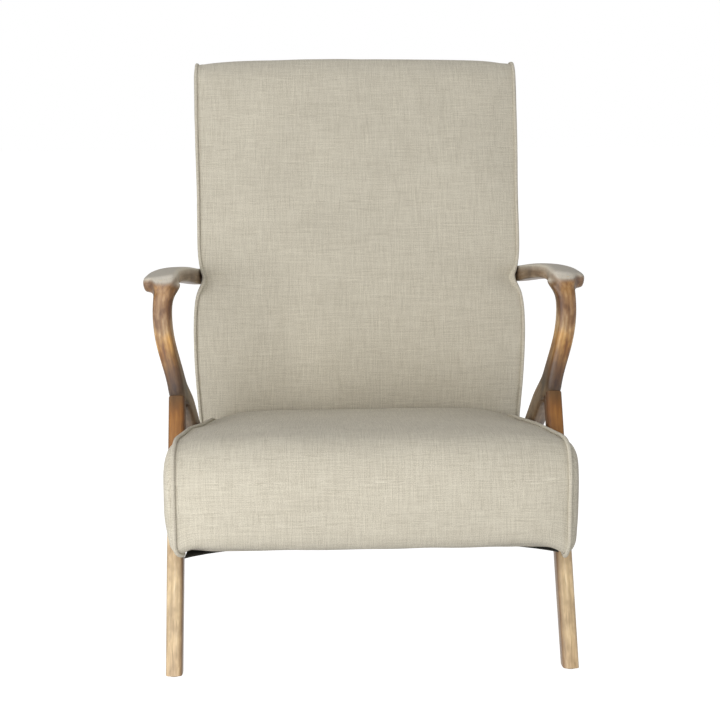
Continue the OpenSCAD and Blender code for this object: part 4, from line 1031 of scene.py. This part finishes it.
class LOUNGE_OT_studio(bpy.types.Operator):
    """Makes the camera, the pale floor and the soft light"""
    bl_idname = "lounge.studio"
    bl_label = "Studio"

    def execute(self, context):
        own, scene = context.scene.lounge_studio, context.scene
        camera = bpy.data.objects.new("camera", bpy.data.cameras.new("camera"))
        scene.collection.objects.link(camera)
        # Place, turn and lens as fitted to the photo
        camera.data.lens = 73.48
        camera.data.sensor_width = 36
        camera.data.clip_end = 60
        turned = (Matrix.Rotation(math.radians(-2.134), 4, "Z") @ Matrix.Rotation(math.radians(79.544), 4, "X")
                  @ Matrix.Rotation(math.radians(-0.311), 4, "Z"))
        camera.matrix_world = Matrix.Translation((-0.1010, -2.5693, 0.9138)) @ turned
        scene.camera = camera

        bpy.ops.object.select_all(action="DESELECT")
        bpy.ops.mesh.primitive_plane_add(size=40, location=(0, 0, 0))
        floor = context.object
        floor.name = "floor"
        material = blank_material("white_paper")
        t = material.node_tree
        seen = add(t, "ShaderNodeLightPath")
        paper = add(t, "ShaderNodeBsdfDiffuse", {"Color": (0.28, 0.28, 0.28, 1)})
        bounce = add(t, "ShaderNodeBsdfDiffuse", {"Color": (0.8, 0.8, 0.8, 1)})
        glow = add(t, "ShaderNodeEmission", {"Color": (1, 1, 1, 1), "Strength": 0.97})
        both = add(t, "ShaderNodeAddShader", {0: paper.outputs[0], 1: glow.outputs[0]})
        direct = seen.outputs["Is Camera Ray"]
        for ray in ("Is Glossy Ray", "Is Transmission Ray"):
            direct = add(t, "ShaderNodeMath", {0: direct, 1: seen.outputs[ray]}, operation="MAXIMUM").outputs[0]
        mixed = add(t, "ShaderNodeMixShader", {0: direct, 1: bounce.outputs[0], 2: both.outputs[0]})
        add(t, "ShaderNodeOutputMaterial", {"Surface": mixed.outputs[0]})
        wear(floor, material)

        world = bpy.data.worlds.new("white_room")
        scene.world = world
        world.use_nodes = True
        t = world.node_tree
        t.nodes.clear()
        seen = add(t, "ShaderNodeLightPath")
        rays = {0: seen.outputs["Is Camera Ray"], 1: seen.outputs["Is Transmission Ray"]}
        direct = add(t, "ShaderNodeMath", rays, operation="MAXIMUM")
        soft = add(t, "ShaderNodeBackground", {"Color": (1, 1, 1, 1), "Strength": own.fill})
        white = add(t, "ShaderNodeBackground", {"Color": (1, 1, 1, 1), "Strength": 1.0})
        mixed = add(t, "ShaderNodeMixShader", {0: direct.outputs[0], 1: soft.outputs[0], 2: white.outputs[0]})
        add(t, "ShaderNodeOutputWorld", {"Surface": mixed.outputs[0]})

        # Each light: name, share of the key light's power, size and place
        for name, part, size, at in (("front", 0.88, 2.4, (-1.1, -2.75, 0.85)),
                                     ("left", 0.17, 1.2, (-2.5, -1.3, 0.7)),
                                     ("right", 0.1, 1.2, (2.4, -1.4, 0.7)),
                                     ("top", 0.28, 2.2, (0.0, 1.0, 3.2))):
            lamp = bpy.data.lights.new(name, "AREA")
            lamp.energy = own.key * part
            lamp.size = size
            holder = bpy.data.objects.new(name, lamp)
            scene.collection.objects.link(holder)
            way = Vector((0, 0, 0.4)) - Vector(at)
            holder.matrix_world = Matrix.Translation(at) @ way.to_track_quat("-Z", "Y").to_matrix().to_4x4()
        scene.view_settings.view_transform = "Standard"
        return {"FINISHED"}


class LOUNGE_PT_panel(bpy.types.Panel):
    bl_label = "Lounge chair"
    bl_idname = "LOUNGE_PT_panel"
    bl_space_type = "VIEW_3D"
    bl_region_type = "UI"
    bl_category = "Lounge Chair"

    def draw(self, context):
        for group in (context.scene.lounge_upholstery, context.scene.lounge_frame, context.scene.lounge_studio):
            for key in group.bl_rna.properties.keys():
                if key not in ("rna_type", "name"):
                    self.layout.prop(group, key)
        for operator in OPERATORS:
            self.layout.operator(operator.bl_idname)


OPERATORS = (LOUNGE_OT_finishes, LOUNGE_OT_seat, LOUNGE_OT_back, LOUNGE_OT_outside_back, LOUNGE_OT_lining,
             LOUNGE_OT_piping, LOUNGE_OT_side_frames, LOUNGE_OT_front_legs, LOUNGE_OT_studio)
SETTINGS = {"lounge_upholstery": LoungeUpholsterySettings, "lounge_frame": LoungeFrameSettings,
            "lounge_studio": LoungeStudioSettings}


def register():
    for group in SETTINGS.values():
        bpy.utils.register_class(group)
    for operator in OPERATORS:
        bpy.utils.register_class(operator)
    bpy.utils.register_class(LOUNGE_PT_panel)
    for key, group in SETTINGS.items():
        setattr(bpy.types.Scene, key, bpy.props.PointerProperty(type=group))


def unregister():
    for key in SETTINGS:
        delattr(bpy.types.Scene, key)
    bpy.utils.unregister_class(LOUNGE_PT_panel)
    for operator in reversed(OPERATORS):
        bpy.utils.unregister_class(operator)
    for group in SETTINGS.values():
        bpy.utils.unregister_class(group)


def main():
    register()
    for operator in OPERATORS:
        getattr(bpy.ops.lounge, operator.bl_idname.split(".")[1])()


if __name__ == "__main__":
    main()
